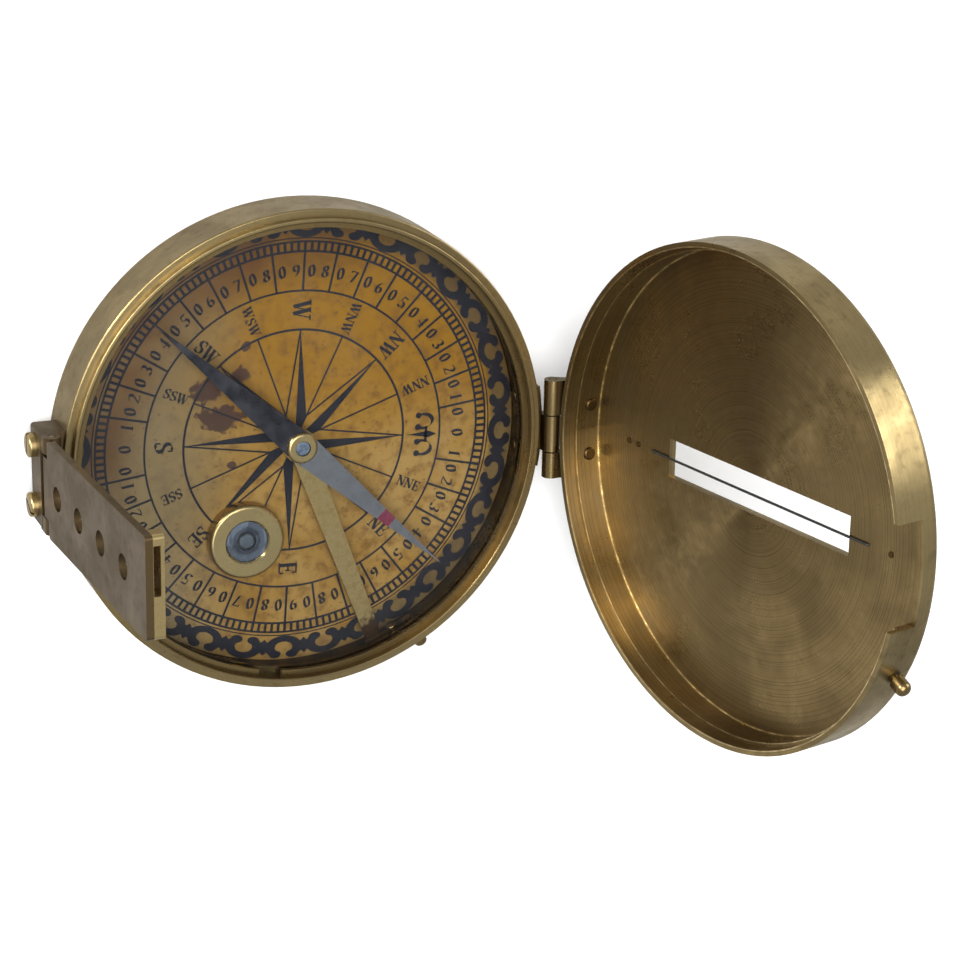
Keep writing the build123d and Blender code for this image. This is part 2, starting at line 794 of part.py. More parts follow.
with BuildPart() as case_hinge_leaf:
    extrude(
        ring_segment(
            Plane.XY.offset(case_leaf_foot), case_radius, leaf_outer, -case_leaf_limit, case_leaf_limit),
        amount=case_leaf_top - case_leaf_foot,
    )
    with BuildSketch(side(middle_knuckle[0])):
        with BuildLine():
            Polyline(
                (case_radius, case_leaf_top - leaf_root_height),
                (leaf_outer, case_leaf_top - leaf_root_height),
                (hinge_x + knuckle_radius * 0.7, hinge_z - knuckle_radius * 0.7),
                (hinge_x, hinge_z),
                (hinge_x - knuckle_radius, hinge_z),
                (case_radius + leaf_wall_gap, hinge_z - knuckle_radius / 2),
                (case_radius + leaf_wall_gap, case_leaf_top - leaf_wall_gap),
                close=True,
            )
        make_face()
        with Locations((hinge_x, hinge_z)):
            Circle(knuckle_radius)
            Circle(hinge_pin_radius + rivet_gap, mode=Mode.SUBTRACT)
    extrude(amount=-(middle_knuckle[1] - middle_knuckle[0]))
    with BuildSketch():
        Circle(case_radius)
    extrude(amount=rim_top, mode=Mode.SUBTRACT)
    for rivet_side in (-1, 1):
        hole = radial_plane(rivet_side * hinge_rivet_azimuth, bore_radius, case_rivet_height)
        extrude(
            disc(hole, hinge_rivet_radius + rivet_gap),
            amount=wall + leaf_thickness + cut_margin,
            mode=Mode.SUBTRACT,
        )
save(case_hinge_leaf, "case_hinge_leaf")

lid_knuckles = (
    (-hinge_half_length, middle_knuckle[0] - knuckle_gap),
    (middle_knuckle[1] + knuckle_gap, hinge_half_length),
)
axis_height = -seat_gap
lid_leaf_foot = lid_leaf_margin + knuckle_radius
lid_root_room = lid_rivet_height - hinge_rivet_head - rivet_gap - lid_leaf_foot
lid_root_height = min(leaf_root_height, lid_root_room)
with BuildPart() as lid_hinge_leaf:
    extrude(
        ring_segment(
            lid_frame.offset(lid_leaf_foot),
            case_radius,
            leaf_outer,
            -leaf_limit,
            leaf_limit,
        ),
        amount=lid_leaf_height - knuckle_radius,
    )
    for start, end in lid_knuckles:
        with BuildSketch(lid_side.offset(-start)):
            with BuildLine():
                Polyline(
                    (case_radius, lid_leaf_foot + lid_root_height),
                    (leaf_outer, lid_leaf_foot + lid_root_height),
                    (hinge_x + knuckle_radius * 0.7, axis_height + knuckle_radius * 0.7),
                    (hinge_x, axis_height),
                    (hinge_x - knuckle_radius, axis_height),
                    (case_radius + leaf_wall_gap, axis_height + 2 * leaf_wall_gap),
                    (case_radius + leaf_wall_gap, lid_leaf_foot),
                    close=True,
                )
            make_face()
            with Locations((hinge_x, axis_height)):
                Circle(knuckle_radius)
                Circle(hinge_pin_radius + running_gap, mode=Mode.SUBTRACT)
        extrude(amount=-(end - start))
    with BuildSketch(lid_frame):
        Circle(case_radius)
    extrude(amount=lid_height, mode=Mode.SUBTRACT)
    for rivet_side in (-1, 1):
        hole = in_lid(rivet_side * hinge_rivet_azimuth, lid_bore, lid_rivet_height)
        extrude(
            disc(hole, hinge_rivet_radius + rivet_gap),
            amount=lid_wall + leaf_thickness + cut_margin,
            mode=Mode.SUBTRACT,
        )
save(lid_hinge_leaf, "lid_hinge_leaf")

with BuildPart() as hinge_pin:
    with BuildSketch(side(-hinge_half_length)):
        with Locations((hinge_x, hinge_z)):
            Circle(hinge_pin_radius)
    extrude(amount=-2 * hinge_half_length)
    fillet(hinge_pin.edges().filter_by(GeomType.CIRCLE), hinge_pin_edge_radius)
save(hinge_pin, "hinge_pin")


def add_rivet(piece, inner_plane, length):
    """Round rivet through a wall and a leaf: shank with a low head at each end."""
    outer_plane = inner_plane.offset(length)
    extrude(disc(inner_plane, hinge_rivet_radius), amount=length)
    extrude(disc(inner_plane, hinge_rivet_head), amount=-hinge_rivet_dome)
    extrude(disc(outer_plane, hinge_rivet_head), amount=hinge_rivet_dome)
    for crown in (inner_plane.offset(-hinge_rivet_dome), outer_plane.offset(hinge_rivet_dome)):
        fillet(nearest_rim(piece, hinge_rivet_head, crown.origin), hinge_rivet_edge_radius)


with BuildPart() as case_hinge_rivets:
    for rivet_side in (-1, 1):
        start = radial_plane(rivet_side * hinge_rivet_azimuth, bore_radius - head_relief, case_rivet_height)
        add_rivet(case_hinge_rivets, start, wall + leaf_thickness + head_relief)
save(case_hinge_rivets, "case_hinge_rivets")

with BuildPart() as lid_hinge_rivets:
    for rivet_side in (-1, 1):
        start = in_lid(rivet_side * hinge_rivet_azimuth, lid_bore - head_relief, lid_rivet_height)
        add_rivet(lid_hinge_rivets, start, lid_wall + leaf_thickness + head_relief)
save(lid_hinge_rivets, "lid_hinge_rivets")

# ---------------------------------------------------------------- vane bracket on the case wall
bracket_outer = vane_x - face_distance
bracket_inner = bracket_reach - case_radius
bracket_top = vane_z - vane_knuckle_radius - bracket_gap
knuckle_half = bracket_width / 2 - bracket_ear - bracket_gap

with BuildPart() as vane_bracket:
    with BuildSketch(Plane.XY.offset(bracket_foot)):
        with Locations(((bracket_outer + bracket_inner) / 2, 0)):
            Rectangle(bracket_inner - bracket_outer, bracket_width)
    extrude(amount=bracket_top - bracket_foot)
    fillet(vane_bracket.edges().filter_by(Axis.Z), bracket_edge_radius)
    for start in (-bracket_width / 2, bracket_width / 2 - bracket_ear):
        with BuildSketch(side(start)):
            with Locations((vane_x, vane_z)):
                Circle(bracket_ear_radius)
            with Locations((vane_x, (bracket_top + vane_z - bracket_ear_root) / 2)):
                Rectangle(2 * bracket_ear_radius, vane_z - bracket_top + bracket_ear_root)
        extrude(amount=-bracket_ear)
    with BuildSketch():
        Circle(case_radius)
    extrude(amount=rim_top, mode=Mode.SUBTRACT)
    with BuildSketch(side(-bracket_width)):
        with Locations((vane_x, vane_z)):
            Circle(vane_pin_radius + rivet_gap)
    extrude(amount=-2 * bracket_width, mode=Mode.SUBTRACT)
    for y in (-bracket_screw_spread, bracket_screw_spread):
        screw_hole = Plane(origin=(bracket_outer, y, bracket_screw_height), z_dir=(1, 0, 0))
        extrude(
            disc(screw_hole, bracket_screw_radius + rivet_gap),
            amount=bracket_inner - bracket_outer,
            mode=Mode.SUBTRACT,
        )
save(vane_bracket, "vane_bracket")

screw_tip = -(bore_radius + bracket_screw_wall_left)
with BuildPart() as bracket_screws:
    for y, slot_turn in zip((-bracket_screw_spread, bracket_screw_spread), screw_slot_turns):
        seat = Plane(
            origin=(bracket_outer, y, bracket_screw_height), x_dir=(0, 1, 0), z_dir=(-1, 0, 0))
        extrude(disc(seat, bracket_screw_head), amount=bracket_screw_head_height)
        extrude(disc(seat, bracket_screw_radius), amount=bracket_outer - screw_tip)
        head_top = seat.offset(bracket_screw_head_height)
        fillet(nearest_rim(bracket_screws, bracket_screw_head, head_top.origin), bracket_screw_edge_radius)
        with BuildSketch(head_top):
            Rectangle(3 * bracket_screw_head, screw_slot_width, rotation=slot_turn)
        extrude(amount=-screw_slot_depth, mode=Mode.SUBTRACT)
save(bracket_screws, "bracket_screws")

with BuildPart() as vane_hinge_pin:
    with BuildSketch(side(-bracket_width / 2)):
        with Locations((vane_x, vane_z)):
            Circle(vane_pin_radius)
    extrude(amount=-bracket_width)
    fillet(vane_hinge_pin.edges().filter_by(GeomType.CIRCLE), hinge_pin_edge_radius)
save(vane_hinge_pin, "vane_hinge_pin")

# ---------------------------------------------------------------- sight vane
knuckle_side = Plane(origin=(vane_x, 0, vane_z), x_dir=(cos(lean), 0, -sin(lean)), z_dir=(0, -1, 0))
with BuildPart() as vane_plate:
    with BuildSketch(vane_face):
        with Locations((0, (vane_shoulder + vane_length) / 2)):
            RectangleRounded(vane_width, vane_length - vane_shoulder, vane_corner_radius)
        with Locations((0, (vane_shoulder + cut_margin) / 2)):
            Rectangle(2 * knuckle_half, vane_shoulder + cut_margin)
        with Locations(*[(0, vane_first_hole + i * vane_hole_pitch) for i in range(vane_hole_count)]):
            Circle(vane_hole_radius, mode=Mode.SUBTRACT)
    extrude(amount=vane_thickness)
    # knuckle rolled from the plate's lower end
    with BuildSketch(knuckle_side.offset(knuckle_half)):
        Circle(vane_knuckle_radius)
    extrude(amount=-2 * knuckle_half)
    with BuildSketch(knuckle_side.offset(knuckle_half)):
        Circle(vane_pin_radius + running_gap)
    extrude(amount=-2 * knuckle_half, mode=Mode.SUBTRACT)
save(vane_plate, "vane_plate")

with BuildPart() as tip_sight:
    with BuildSketch(vane_face.offset(vane_thickness)):
        with Locations((0, vane_length - tip_height / 2)):
            RectangleRounded(vane_width, tip_height, vane_corner_radius)
    extrude(amount=tip_depth)
    with BuildSketch(vane_face.offset(vane_thickness + tip_slot_wall)):
        with Locations(((tip_slot_low + tip_slot_high) / 2, vane_length - tip_height / 2)):
            Rectangle(tip_slot_high - tip_slot_low, 2 * tip_height)
    extrude(amount=tip_slot_width, mode=Mode.SUBTRACT)
save(tip_sight, "tip_sight")
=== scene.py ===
# %% [markdown]
# # A brass sighting compass, finished
# The compass is already modelled as a set of exact parts. This lesson gives every part its finish, prints
# the dial, and sets up a small product studio. Each step says what the real thing is, then how it is made
# here.

import math

import bmesh
import bpy
from mathutils import Matrix, Vector


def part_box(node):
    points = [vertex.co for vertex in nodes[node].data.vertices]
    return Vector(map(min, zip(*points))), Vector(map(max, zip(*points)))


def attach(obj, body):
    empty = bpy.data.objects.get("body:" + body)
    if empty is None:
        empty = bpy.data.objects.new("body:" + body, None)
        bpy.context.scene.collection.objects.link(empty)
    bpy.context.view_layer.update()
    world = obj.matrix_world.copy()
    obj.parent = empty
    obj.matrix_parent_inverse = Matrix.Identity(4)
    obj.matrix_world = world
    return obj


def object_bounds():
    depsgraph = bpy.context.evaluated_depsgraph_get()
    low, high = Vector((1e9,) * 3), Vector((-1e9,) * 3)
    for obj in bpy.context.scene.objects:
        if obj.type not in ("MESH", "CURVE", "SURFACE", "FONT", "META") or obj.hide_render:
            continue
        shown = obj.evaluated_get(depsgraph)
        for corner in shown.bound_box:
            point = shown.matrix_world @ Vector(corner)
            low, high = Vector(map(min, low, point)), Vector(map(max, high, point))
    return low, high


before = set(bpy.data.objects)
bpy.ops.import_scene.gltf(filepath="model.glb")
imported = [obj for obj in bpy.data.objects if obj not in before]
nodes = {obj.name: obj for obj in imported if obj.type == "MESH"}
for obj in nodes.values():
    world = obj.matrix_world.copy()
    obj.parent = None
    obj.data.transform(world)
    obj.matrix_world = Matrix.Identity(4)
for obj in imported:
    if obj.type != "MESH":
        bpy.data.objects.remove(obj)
at_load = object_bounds()
print(len(nodes), "parts loaded")

# %% [markdown]
# Blender counts in metres, and a compass maker counts in millimetres. Every length below is written in
# millimetres and multiplied by `mm` when it reaches Blender. Colours are written as a painter would name
# them on a 0 to 255 card, and turned into the linear light values that shaders use.

# %% Units and colours
mm = 0.001
FULL_TURN = math.radians(360)


def tint(red, green, blue):
    """A colour from a 0 to 255 card, as linear light with full opacity."""
    parts = [c / 255 for c in (red, green, blue)]
    linear = [c / 12.92 if c <= 0.04045 else ((c + 0.055) / 1.055) ** 2.4 for c in parts]
    return (*linear, 1.0)


print("old brass as linear light:", [round(c, 3) for c in tint(176, 146, 92)])

# %% [markdown]
# Nearly every part of the compass was turned on a lathe, so its marks run round an axis. The case turns
# about the vertical, and the lid about its own axis, which leans back with it. `CASE_AXIS` and `LID_AXIS`
# hold where each axis starts and how far it is turned about Y. The dial is printed with its north a little
# off the case's middle line, as the card was glued in by eye.

# %% Axes that the finishes follow
LID_OPEN, LID_SEAT_GAP = math.radians(103.5), 0.15
pin_low, pin_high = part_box("hinge_pin")
hinge = (pin_low + pin_high) / 2
lid_rim = hinge + Matrix.Rotation(LID_OPEN, 3, "Y") @ Vector((-hinge.x, 0, LID_SEAT_GAP * mm))
CASE_AXIS = (Vector((0, 0, 0)), 0.0)
LID_AXIS = (lid_rim, LID_OPEN)
print("the lid's axis starts at", [round(c / mm, 2) for c in lid_rim], "mm")
DIAL_TURN = math.radians(-3.15)
NEEDLE_TURN = math.radians(-43.2)
card_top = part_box("dial_card")[1].z
print("card's upper face at", round(card_top / mm, 2), "mm")

# %% [markdown]
# A finish is a small network of nodes. Two helper classes keep the network readable: each method adds a
# node and returns its output, so a recipe reads as a list of what is laid over what. The first class holds
# the plain tools: any node, arithmetic, a soft step, one colour over another, and a point taken apart.

# %% A helper for networks of nodes


class Network:
    """One material, built node by node."""

    def __init__(self, name):
        self.material = bpy.data.materials.new(name)
        self.material.use_nodes = True
        self.tree = self.material.node_tree
        self.tree.nodes.clear()

    def add(self, kind, inputs=(), output=0, **settings):
        """Adds a node, fills its inputs with values or other nodes' outputs, and returns one output."""
        node = self.tree.nodes.new(kind)
        for key, value in settings.items():
            setattr(node, key, value)
        for key, value in dict(inputs).items():
            if isinstance(value, bpy.types.NodeSocket):
                self.tree.links.new(value, node.inputs[key])
            else:
                node.inputs[key].default_value = value
        return node.outputs[output] if len(node.outputs) else node

    def maths(self, operation, a, b=0.0, clamp=False):
        return self.add("ShaderNodeMath", {0: a, 1: b}, operation=operation, use_clamp=clamp)

    def fade(self, value, low, high, start=0.0, end=1.0):
        """Slides from start to end while value goes from low to high."""
        inputs = {"Value": value, "From Min": low, "From Max": high, "To Min": start, "To Max": end}
        return self.add("ShaderNodeMapRange", inputs, interpolation_type="SMOOTHSTEP")

    def mix(self, amount, under, over):
        """Lays one colour over another. The sockets of a colour mix are numbers 0, 6, 7 and 2."""
        return self.add("ShaderNodeMix", {0: amount, 6: under, 7: over}, output=2, data_type="RGBA")

    def parts(self, where):
        """The x, y and z of a point."""
        return tuple(self.add("ShaderNodeSeparateXYZ", {0: where}).node.outputs)

    def length(self, x, y):
        squares = self.maths("ADD", self.maths("MULTIPLY", x, x), self.maths("MULTIPLY", y, y))
        return self.maths("SQRT", squares)


print("plain tools:", ", ".join(name for name in vars(Network) if not name.startswith("_")))

# %% [markdown]
# The second class knows the compass. Its patterns are measured in millimetres on Object coordinates, so a
# scratch has the same size on every part, and a Mapping node puts a lathe's axis in their middle. It also
# makes relief and the surface itself, and lays the finished material on the parts.

# %% A helper for finishes


class Finish(Network):
    """A material whose patterns are measured in millimetres from a lathe's axis."""

    def place(self, axis=CASE_AXIS, turn=0.0):
        """Where a point lies, in millimetres, measured from a lathe's axis."""
        origin, lean = axis
        raw = self.add("ShaderNodeTexCoord", output="Object")
        inputs = {"Vector": raw, "Location": origin, "Rotation": (0, lean, turn)}
        seated = self.add("ShaderNodeMapping", inputs, vector_type="TEXTURE")
        return self.add("ShaderNodeVectorMath", {0: seated, "Scale": 1 / mm}, operation="SCALE")

    def stretch(self, where, scale):
        return self.add("ShaderNodeMapping", {"Vector": where, "Scale": scale})

    def noise(self, where, size, detail=4.0, roughness=0.55, distortion=0.0):
        """Soft cloudy variation, with clouds about `size` millimetres wide."""
        inputs = {"Vector": where, "Scale": 1 / size, "Detail": detail, "Roughness": roughness,
                  "Distortion": distortion}
        return self.add("ShaderNodeTexNoise", inputs, output="Fac")

    def lines(self, along, size, detail=3.0):
        """Variation along one number only, which draws lines across it."""
        inputs = {"W": along, "Scale": 1 / size, "Detail": detail}
        return self.add("ShaderNodeTexNoise", inputs, output="Fac", noise_dimensions="1D")

    def radius(self, where):
        x, y, _ = self.parts(where)
        return self.length(x, y)

    def bump(self, height, depth, under=None):
        """Relief `depth` millimetres deep, laid over the relief already there."""
        inputs = {"Height": height, "Distance": depth * mm, "Strength": 1.0}
        if under is not None:
            inputs["Normal"] = under
        return self.add("ShaderNodeBump", inputs)

    def shader(self, **inputs):
        named = {key.replace("_", " "): value for key, value in inputs.items()}
        return self.add("ShaderNodeBsdfPrincipled", named)

    def done(self, surface, *parts):
        self.add("ShaderNodeOutputMaterial", {"Surface": surface})
        for part in parts:
            nodes[part].data.materials.clear()
            nodes[part].data.materials.append(self.material)
        print("finish", self.material.name, "on", ", ".join(parts) or "new pieces")
        return self.material


print("finishing tools:", ", ".join(name for name in vars(Finish) if not name.startswith("_")))

# %% [markdown]
# ## Brass
# Old lacquered brass is never one colour. Where fingers rub it, it stays bright and yellow. Elsewhere it
# dulls to khaki, and in corners and pits it goes brown. One recipe can serve every brass part, so three
# marks that it needs come first. Scratches are noise drawn out into threads. A rim that gets a painted
# highlight is everything close to one circle. And the lathe's direction, which runs round the axis, is a
# cross product of the axis and the way out to the point: it steers the highlight later.

# %% Scratches, rubbed rims and the lathe's direction
THREAD, CROSS_THREAD = (0.06, 1.0, 1.0), (1.0, 0.05, 1.0)


def scratch_lines(f, where):
    """Threads of noise along X and along Y, kept only where they are strongest."""
    along = f.noise(f.stretch(where, THREAD), 0.5, detail=3.0)
    across = f.noise(f.stretch(where, CROSS_THREAD), 0.45, detail=3.0)
    return f.maths("MAXIMUM", f.fade(along, 0.66, 0.72), f.fade(across, 0.68, 0.74))


def near_rim(f, radius, height, rim):
    """1 at a rim and 0 away from it. A rim is (distance from the axis, height, half width)."""
    rim_radius, rim_height, half_width = rim
    away = f.maths("ABSOLUTE", f.maths("SUBTRACT", radius, rim_radius))
    above = f.maths("ABSOLUTE", f.maths("SUBTRACT", height, rim_height))
    return f.fade(f.maths("MAXIMUM", away, above), half_width, half_width * 0.3)


def lathe_direction(f, axis):
    """The way the lathe's tool ran at each point, for the shader's Tangent."""
    origin, lean = axis
    spindle = (math.sin(lean), 0.0, math.cos(lean))
    raw = f.add("ShaderNodeTexCoord", output="Object")
    outwards = f.add("ShaderNodeVectorMath", {0: raw, 1: origin}, operation="SUBTRACT")
    round_axis = f.add("ShaderNodeVectorMath", {0: spindle, 1: outwards}, operation="CROSS_PRODUCT")
    return f.add("ShaderNodeVectorTransform", {0: round_axis}, vector_type="VECTOR",
                 convert_from="OBJECT", convert_to="WORLD")


print("a scratch is about", round(1 / THREAD[0]), "times as long as it is wide")

# %% [markdown]
# The recipe lays the layers over one another. A broad cloud pattern chooses between bright and dull metal,
# a finer one adds dark mottling, and lathe lines run round the axis. Then come tarnish spots, scratches,
# painted shade on the inside and painted highlights along rims. The same patterns roughen and dent the
# surface, so colour and gloss agree.

# %% The recipe for brass
CLOUD_SIZE, MOTTLE_SIZE, SPOT_SIZE, GRAIN_SIZE, LATHE_SIZE = 9.0, 1.6, 0.45, 0.25, 0.22
# The pale tint of the painted highlights along rims.
RIM_HIGHLIGHT = tint(232, 212, 166)
PATINA_RELIEF = 0.002
QUARTER_TURN = 0.25  # turns the stretched highlight across the lathe lines


def brass_colour(f, clouds, mottle, tarnish, lathe, tones, wear, turned, spots):
    """Bright and dull metal in clouds, with dark mottling, lathe lines and tarnish spots over them."""
    bright, dull, dark = tones
    colour = f.mix(f.fade(clouds, wear - 0.18, wear + 0.18), bright, dull)
    colour = f.mix(f.fade(mottle, 0.5, 0.75, 0.0, 0.28), colour, dark)
    colour = f.mix(f.fade(lathe, 0.35, 0.7, 0.0, 0.35 * min(1.0, turned * 40)), colour, dark)
    return f.mix(f.fade(tarnish, 0.72, 0.78, 0.0, spots), colour, dark)


def unpolished(f, radius, height, clouds, lathe, inside, dark, colour):
    """Lays a painted shade tint over the inside, given as (distance from the axis, height, tint), darker in
    patina clouds and lathe lines.
    """
    wall_radius, ceiling, old = inside
    within = f.maths("MULTIPLY", f.fade(radius, wall_radius + 0.1, wall_radius - 0.1),
                     f.fade(height, ceiling + 0.1, ceiling - 0.1))
    # old is the painted shade tint of the inside, mottled darker by the clouds and the lathe lines
    old = f.mix(f.fade(clouds, 0.3, 0.7, 0.0, 0.3), old, dark)
    old = f.mix(f.fade(lathe, 0.40, 0.75, 0.0, 0.45), old, dark)
    return f.mix(f.maths("MULTIPLY", within, 0.85), colour, old)


def brass(name, parts, bright, dull, dark, wear=0.5, gloss=0.32, axis=CASE_AXIS, turned=0.0, stretchy=0.0,
          scratch=0.5, spots=0.5, highlight_rims=(), inside=None):
    """Old brass. `turned` is how deep the lathe lines are, in millimetres, and `stretchy` is how much they
    pull the highlights. The listed rims get a painted highlight, and the inside a painted shade."""
    f = Finish(name)
    where = f.place(axis)
    radius, height = f.radius(where), f.parts(where)[2]
    clouds = f.noise(where, CLOUD_SIZE, detail=6.0, distortion=0.4)
    mottle = f.noise(where, MOTTLE_SIZE, detail=5.0)
    grain = f.noise(where, GRAIN_SIZE, detail=3.0)
    tarnish = f.noise(where, SPOT_SIZE, detail=2.0, roughness=0.4)
    lathe = f.lines(f.maths("ADD", radius, height), LATHE_SIZE)
    scratches = scratch_lines(f, where)

    colour = brass_colour(f, clouds, mottle, tarnish, lathe, (bright, dull, dark), wear, turned, spots)
    colour = f.mix(f.maths("MULTIPLY", scratches, scratch), colour, bright)
    # Painted shade inside the walls.
    if inside:
        colour = unpolished(f, radius, height, clouds, lathe, inside, dark, colour)
    # Painted highlight along each listed rim.
    for rim in highlight_rims:
        rim_highlight = f.maths("MULTIPLY", near_rim(f, radius, height, rim), f.fade(mottle, 0.35, 0.6, 0.9, 0.35))
        colour = f.mix(rim_highlight, colour, RIM_HIGHLIGHT)

    rough = f.fade(clouds, 0.3, 0.7, gloss - 0.06, gloss + 0.08)
    rough = f.maths("ADD", rough, f.fade(mottle, 0.4, 0.75, 0.0, 0.06))
    rough = f.maths("SUBTRACT", rough, f.maths("MULTIPLY", scratches, 0.12 * scratch), clamp=True)

    relief = f.bump(grain, PATINA_RELIEF, f.bump(clouds, PATINA_RELIEF))
    relief = f.bump(tarnish, PATINA_RELIEF * spots, relief)
    if turned:
        relief = f.bump(lathe, turned, relief)
    inputs = {"Base_Color": colour, "Roughness": rough, "Metallic": 1.0, "Normal": relief}
    if stretchy:
        inputs.update(Anisotropic=stretchy, Anisotropic_Rotation=QUARTER_TURN,
                      Tangent=lathe_direction(f, axis))
    return f.done(f.shader(**inputs), *parts)


# %% [markdown]
# The case was turned from a casting, then lacquered, and its outside has gone khaki. The lid is the same
# metal. Its rims carry painted highlights, and its inside, like the case's, carries painted shade.

# %% Case and lid
# Painted shade inside the case and the lid: how far the walls reach, how high, and the shade's tint.
CASE_INSIDE_SHADE = (36.3, 12.0, tint(100, 84, 54))
LID_INSIDE_SHADE = (37.5, 7.0, tint(150, 128, 88))
# Rims of the lid that get a painted highlight.
LID_HIGHLIGHT_RIMS = [(36.5, 2.1, 0.18),   # the step that sits on the case
            (37.15, 0.0, 0.25),  # the mouth
            (36.5, 6.45, 0.3)]   # the corner where the wall meets the plate
brass("case_brass", ["case_body", "dial_plate"], bright=tint(158, 138, 94), dull=tint(132, 116, 82),
      dark=tint(70, 58, 38), wear=0.46, gloss=0.30, turned=0.006, stretchy=0.35, scratch=0.35, spots=0.35,
      inside=CASE_INSIDE_SHADE)
brass("lid_brass", ["lid_shell"], bright=tint(164, 145, 102), dull=tint(140, 123, 86), dark=tint(66, 54, 36),
      wear=0.5, gloss=0.30, axis=LID_AXIS, turned=0.012, stretchy=0.8, scratch=0.12, spots=0.05,
      highlight_rims=LID_HIGHLIGHT_RIMS, inside=LID_INSIDE_SHADE)

# %% [markdown]
# The small fittings were filed and polished one by one. The level's cup, the lifter bar and the needle's
# cap are the brightest, and the rivets and the pins in the lid the darkest.

# %% Small fittings
brass("fitting_brass",
      ["pivot_post", "fulcrum_bracket", "glass_seat_ring", "glass_snap_ring", "lock_rocker", "rocker_rivet",
       "lock_stud", "lid_stud", "case_hinge_leaf", "lid_hinge_leaf", "hinge_pin", "vane_hinge_pin"],
      bright=tint(132, 112, 74), dull=tint(108, 92, 62), dark=tint(54, 44, 28), wear=0.52, gloss=0.27,
      scratch=0.5, spots=0.5)
brass("bright_brass", ["level_housing", "needle_cap", "bracket_screws", "tip_sight"],
      bright=tint(188, 166, 116), dull=tint(158, 138, 96), dark=tint(90, 72, 44), wear=0.56, gloss=0.26,
      scratch=0.4, spots=0.35)
brass("dark_brass", ["lid_face_pins", "case_hinge_rivets", "lid_hinge_rivets"], bright=tint(120, 96, 60),
      dull=tint(84, 66, 40), dark=tint(40, 30, 20), wear=0.42, gloss=0.36, scratch=0.3, spots=0.6)
brass("vane_brass", ["vane_bracket", "vane_plate"], bright=tint(106, 87, 60), dull=tint(90, 75, 53),
      dark=tint(56, 46, 32), wear=0.46, gloss=0.36, scratch=0.45, spots=0.5)

# %% [markdown]
# The lifter bar is pale brass. Its last few millimetres carry a brown painted shadow, where the bar runs in
# shade near the case wall. The shadow is a fade along the distance from the compass's centre.

# %% Lifter bar
SHADOW_START, SHADOW_END = 31.0, 33.0


def lifter_finish():
    f = Finish("lifter_brass")
    where = f.place()
    radius = f.radius(where)
    mottle = f.noise(where, 1.2, detail=5.0)
    ragged = f.maths("ADD", radius, f.fade(mottle, 0.3, 0.7, -0.8, 0.8))
    unshaded = f.mix(f.fade(mottle, 0.35, 0.7), tint(186, 162, 112), tint(156, 134, 88))
    # Painted shadow: the bar's outer end darkens to brown near the case wall.
    colour = f.mix(f.fade(ragged, SHADOW_START, SHADOW_END), unshaded, tint(74, 52, 32))
    rough = f.fade(mottle, 0.3, 0.7, 0.26, 0.40)
    relief = f.bump(f.noise(where, 0.2), 0.004, f.bump(mottle, 0.012))
    return f.done(f.shader(Base_Color=colour, Roughness=rough, Metallic=1.0, Normal=relief), "lifter_bar")


lifter_finish()

# %% [markdown]
# ## Steel, jewel and wire
# A compass needle is a flat steel lozenge. The half that points south is left darker, and the other half is
# ground bright and carries a painted band. The needle lies at an angle on the dial, so its pattern is
# turned to lie along it, and the two halves are told apart by the sign of the distance along it. Fine lines
# across the steel come from the stone it was ground on.

# %% Needle
BAND_MIDDLE, BAND_HALF = 19.0, 1.2


def needle_finish():
    f = Finish("needle_steel")
    where = f.place(turn=NEEDLE_TURN)
    along = f.parts(where)[0]
    cloud = f.noise(where, 3.0, detail=5.0)
    ground = f.noise(f.stretch(where, (1.0, 0.08, 1.0)), 0.16)
    rust = f.noise(where, 0.6, detail=3.0)
    south = f.mix(f.fade(cloud, 0.35, 0.7), tint(56, 55, 60), tint(76, 75, 80))
    north = f.mix(f.fade(cloud, 0.35, 0.7), tint(142, 144, 150), tint(122, 124, 128))
    colour = f.mix(f.fade(along, -0.2, 0.2), south, north)
    colour = f.mix(f.fade(rust, 0.62, 0.74, 0.0, 0.5), colour, tint(84, 66, 52))
    off_band = f.maths("ABSOLUTE", f.maths("SUBTRACT", along, BAND_MIDDLE))
    ragged = f.maths("ADD", off_band, f.fade(cloud, 0.3, 0.7, -0.12, 0.12))
    painted = f.fade(ragged, BAND_HALF + 0.06, BAND_HALF - 0.06)
    colour = f.mix(painted, colour, f.mix(f.fade(rust, 0.4, 0.6), tint(116, 30, 58), tint(88, 24, 46)))
    rough = f.maths("ADD", f.fade(cloud, 0.3, 0.7, 0.26, 0.36), f.maths("MULTIPLY", painted, 0.1))
    metal = f.maths("SUBTRACT", 1.0, f.maths("MULTIPLY", painted, 0.9))
    relief = f.bump(rust, 0.006, f.bump(ground, 0.003))
    return f.done(f.shader(Base_Color=colour, Roughness=rough, Metallic=metal, Normal=relief), "needle")


needle_finish()

# %% [markdown]
# Plain steel, the agate jewel and the blackened sighting wire are small, so they share one short recipe
# with two colours, a cloud pattern and a little relief.

# %% Steel, jewel and wire


def small_part(name, parts, one, two, metal, gloss, cloud_size=0.8, coat=0.0):
    f = Finish(name)
    where = f.place()
    cloud = f.noise(where, cloud_size, detail=5.0, distortion=0.3)
    fine = f.noise(where, cloud_size / 6, detail=3.0)
    colour = f.mix(f.fade(cloud, 0.35, 0.68), one, two)
    rough = f.fade(fine, 0.3, 0.7, gloss - 0.06, gloss + 0.10)
    relief = f.bump(fine, 0.003, f.bump(cloud, 0.008))
    surface = f.shader(Base_Color=colour, Roughness=rough, Metallic=metal, Normal=relief, Coat_Weight=coat)
    return f.done(surface, *parts)


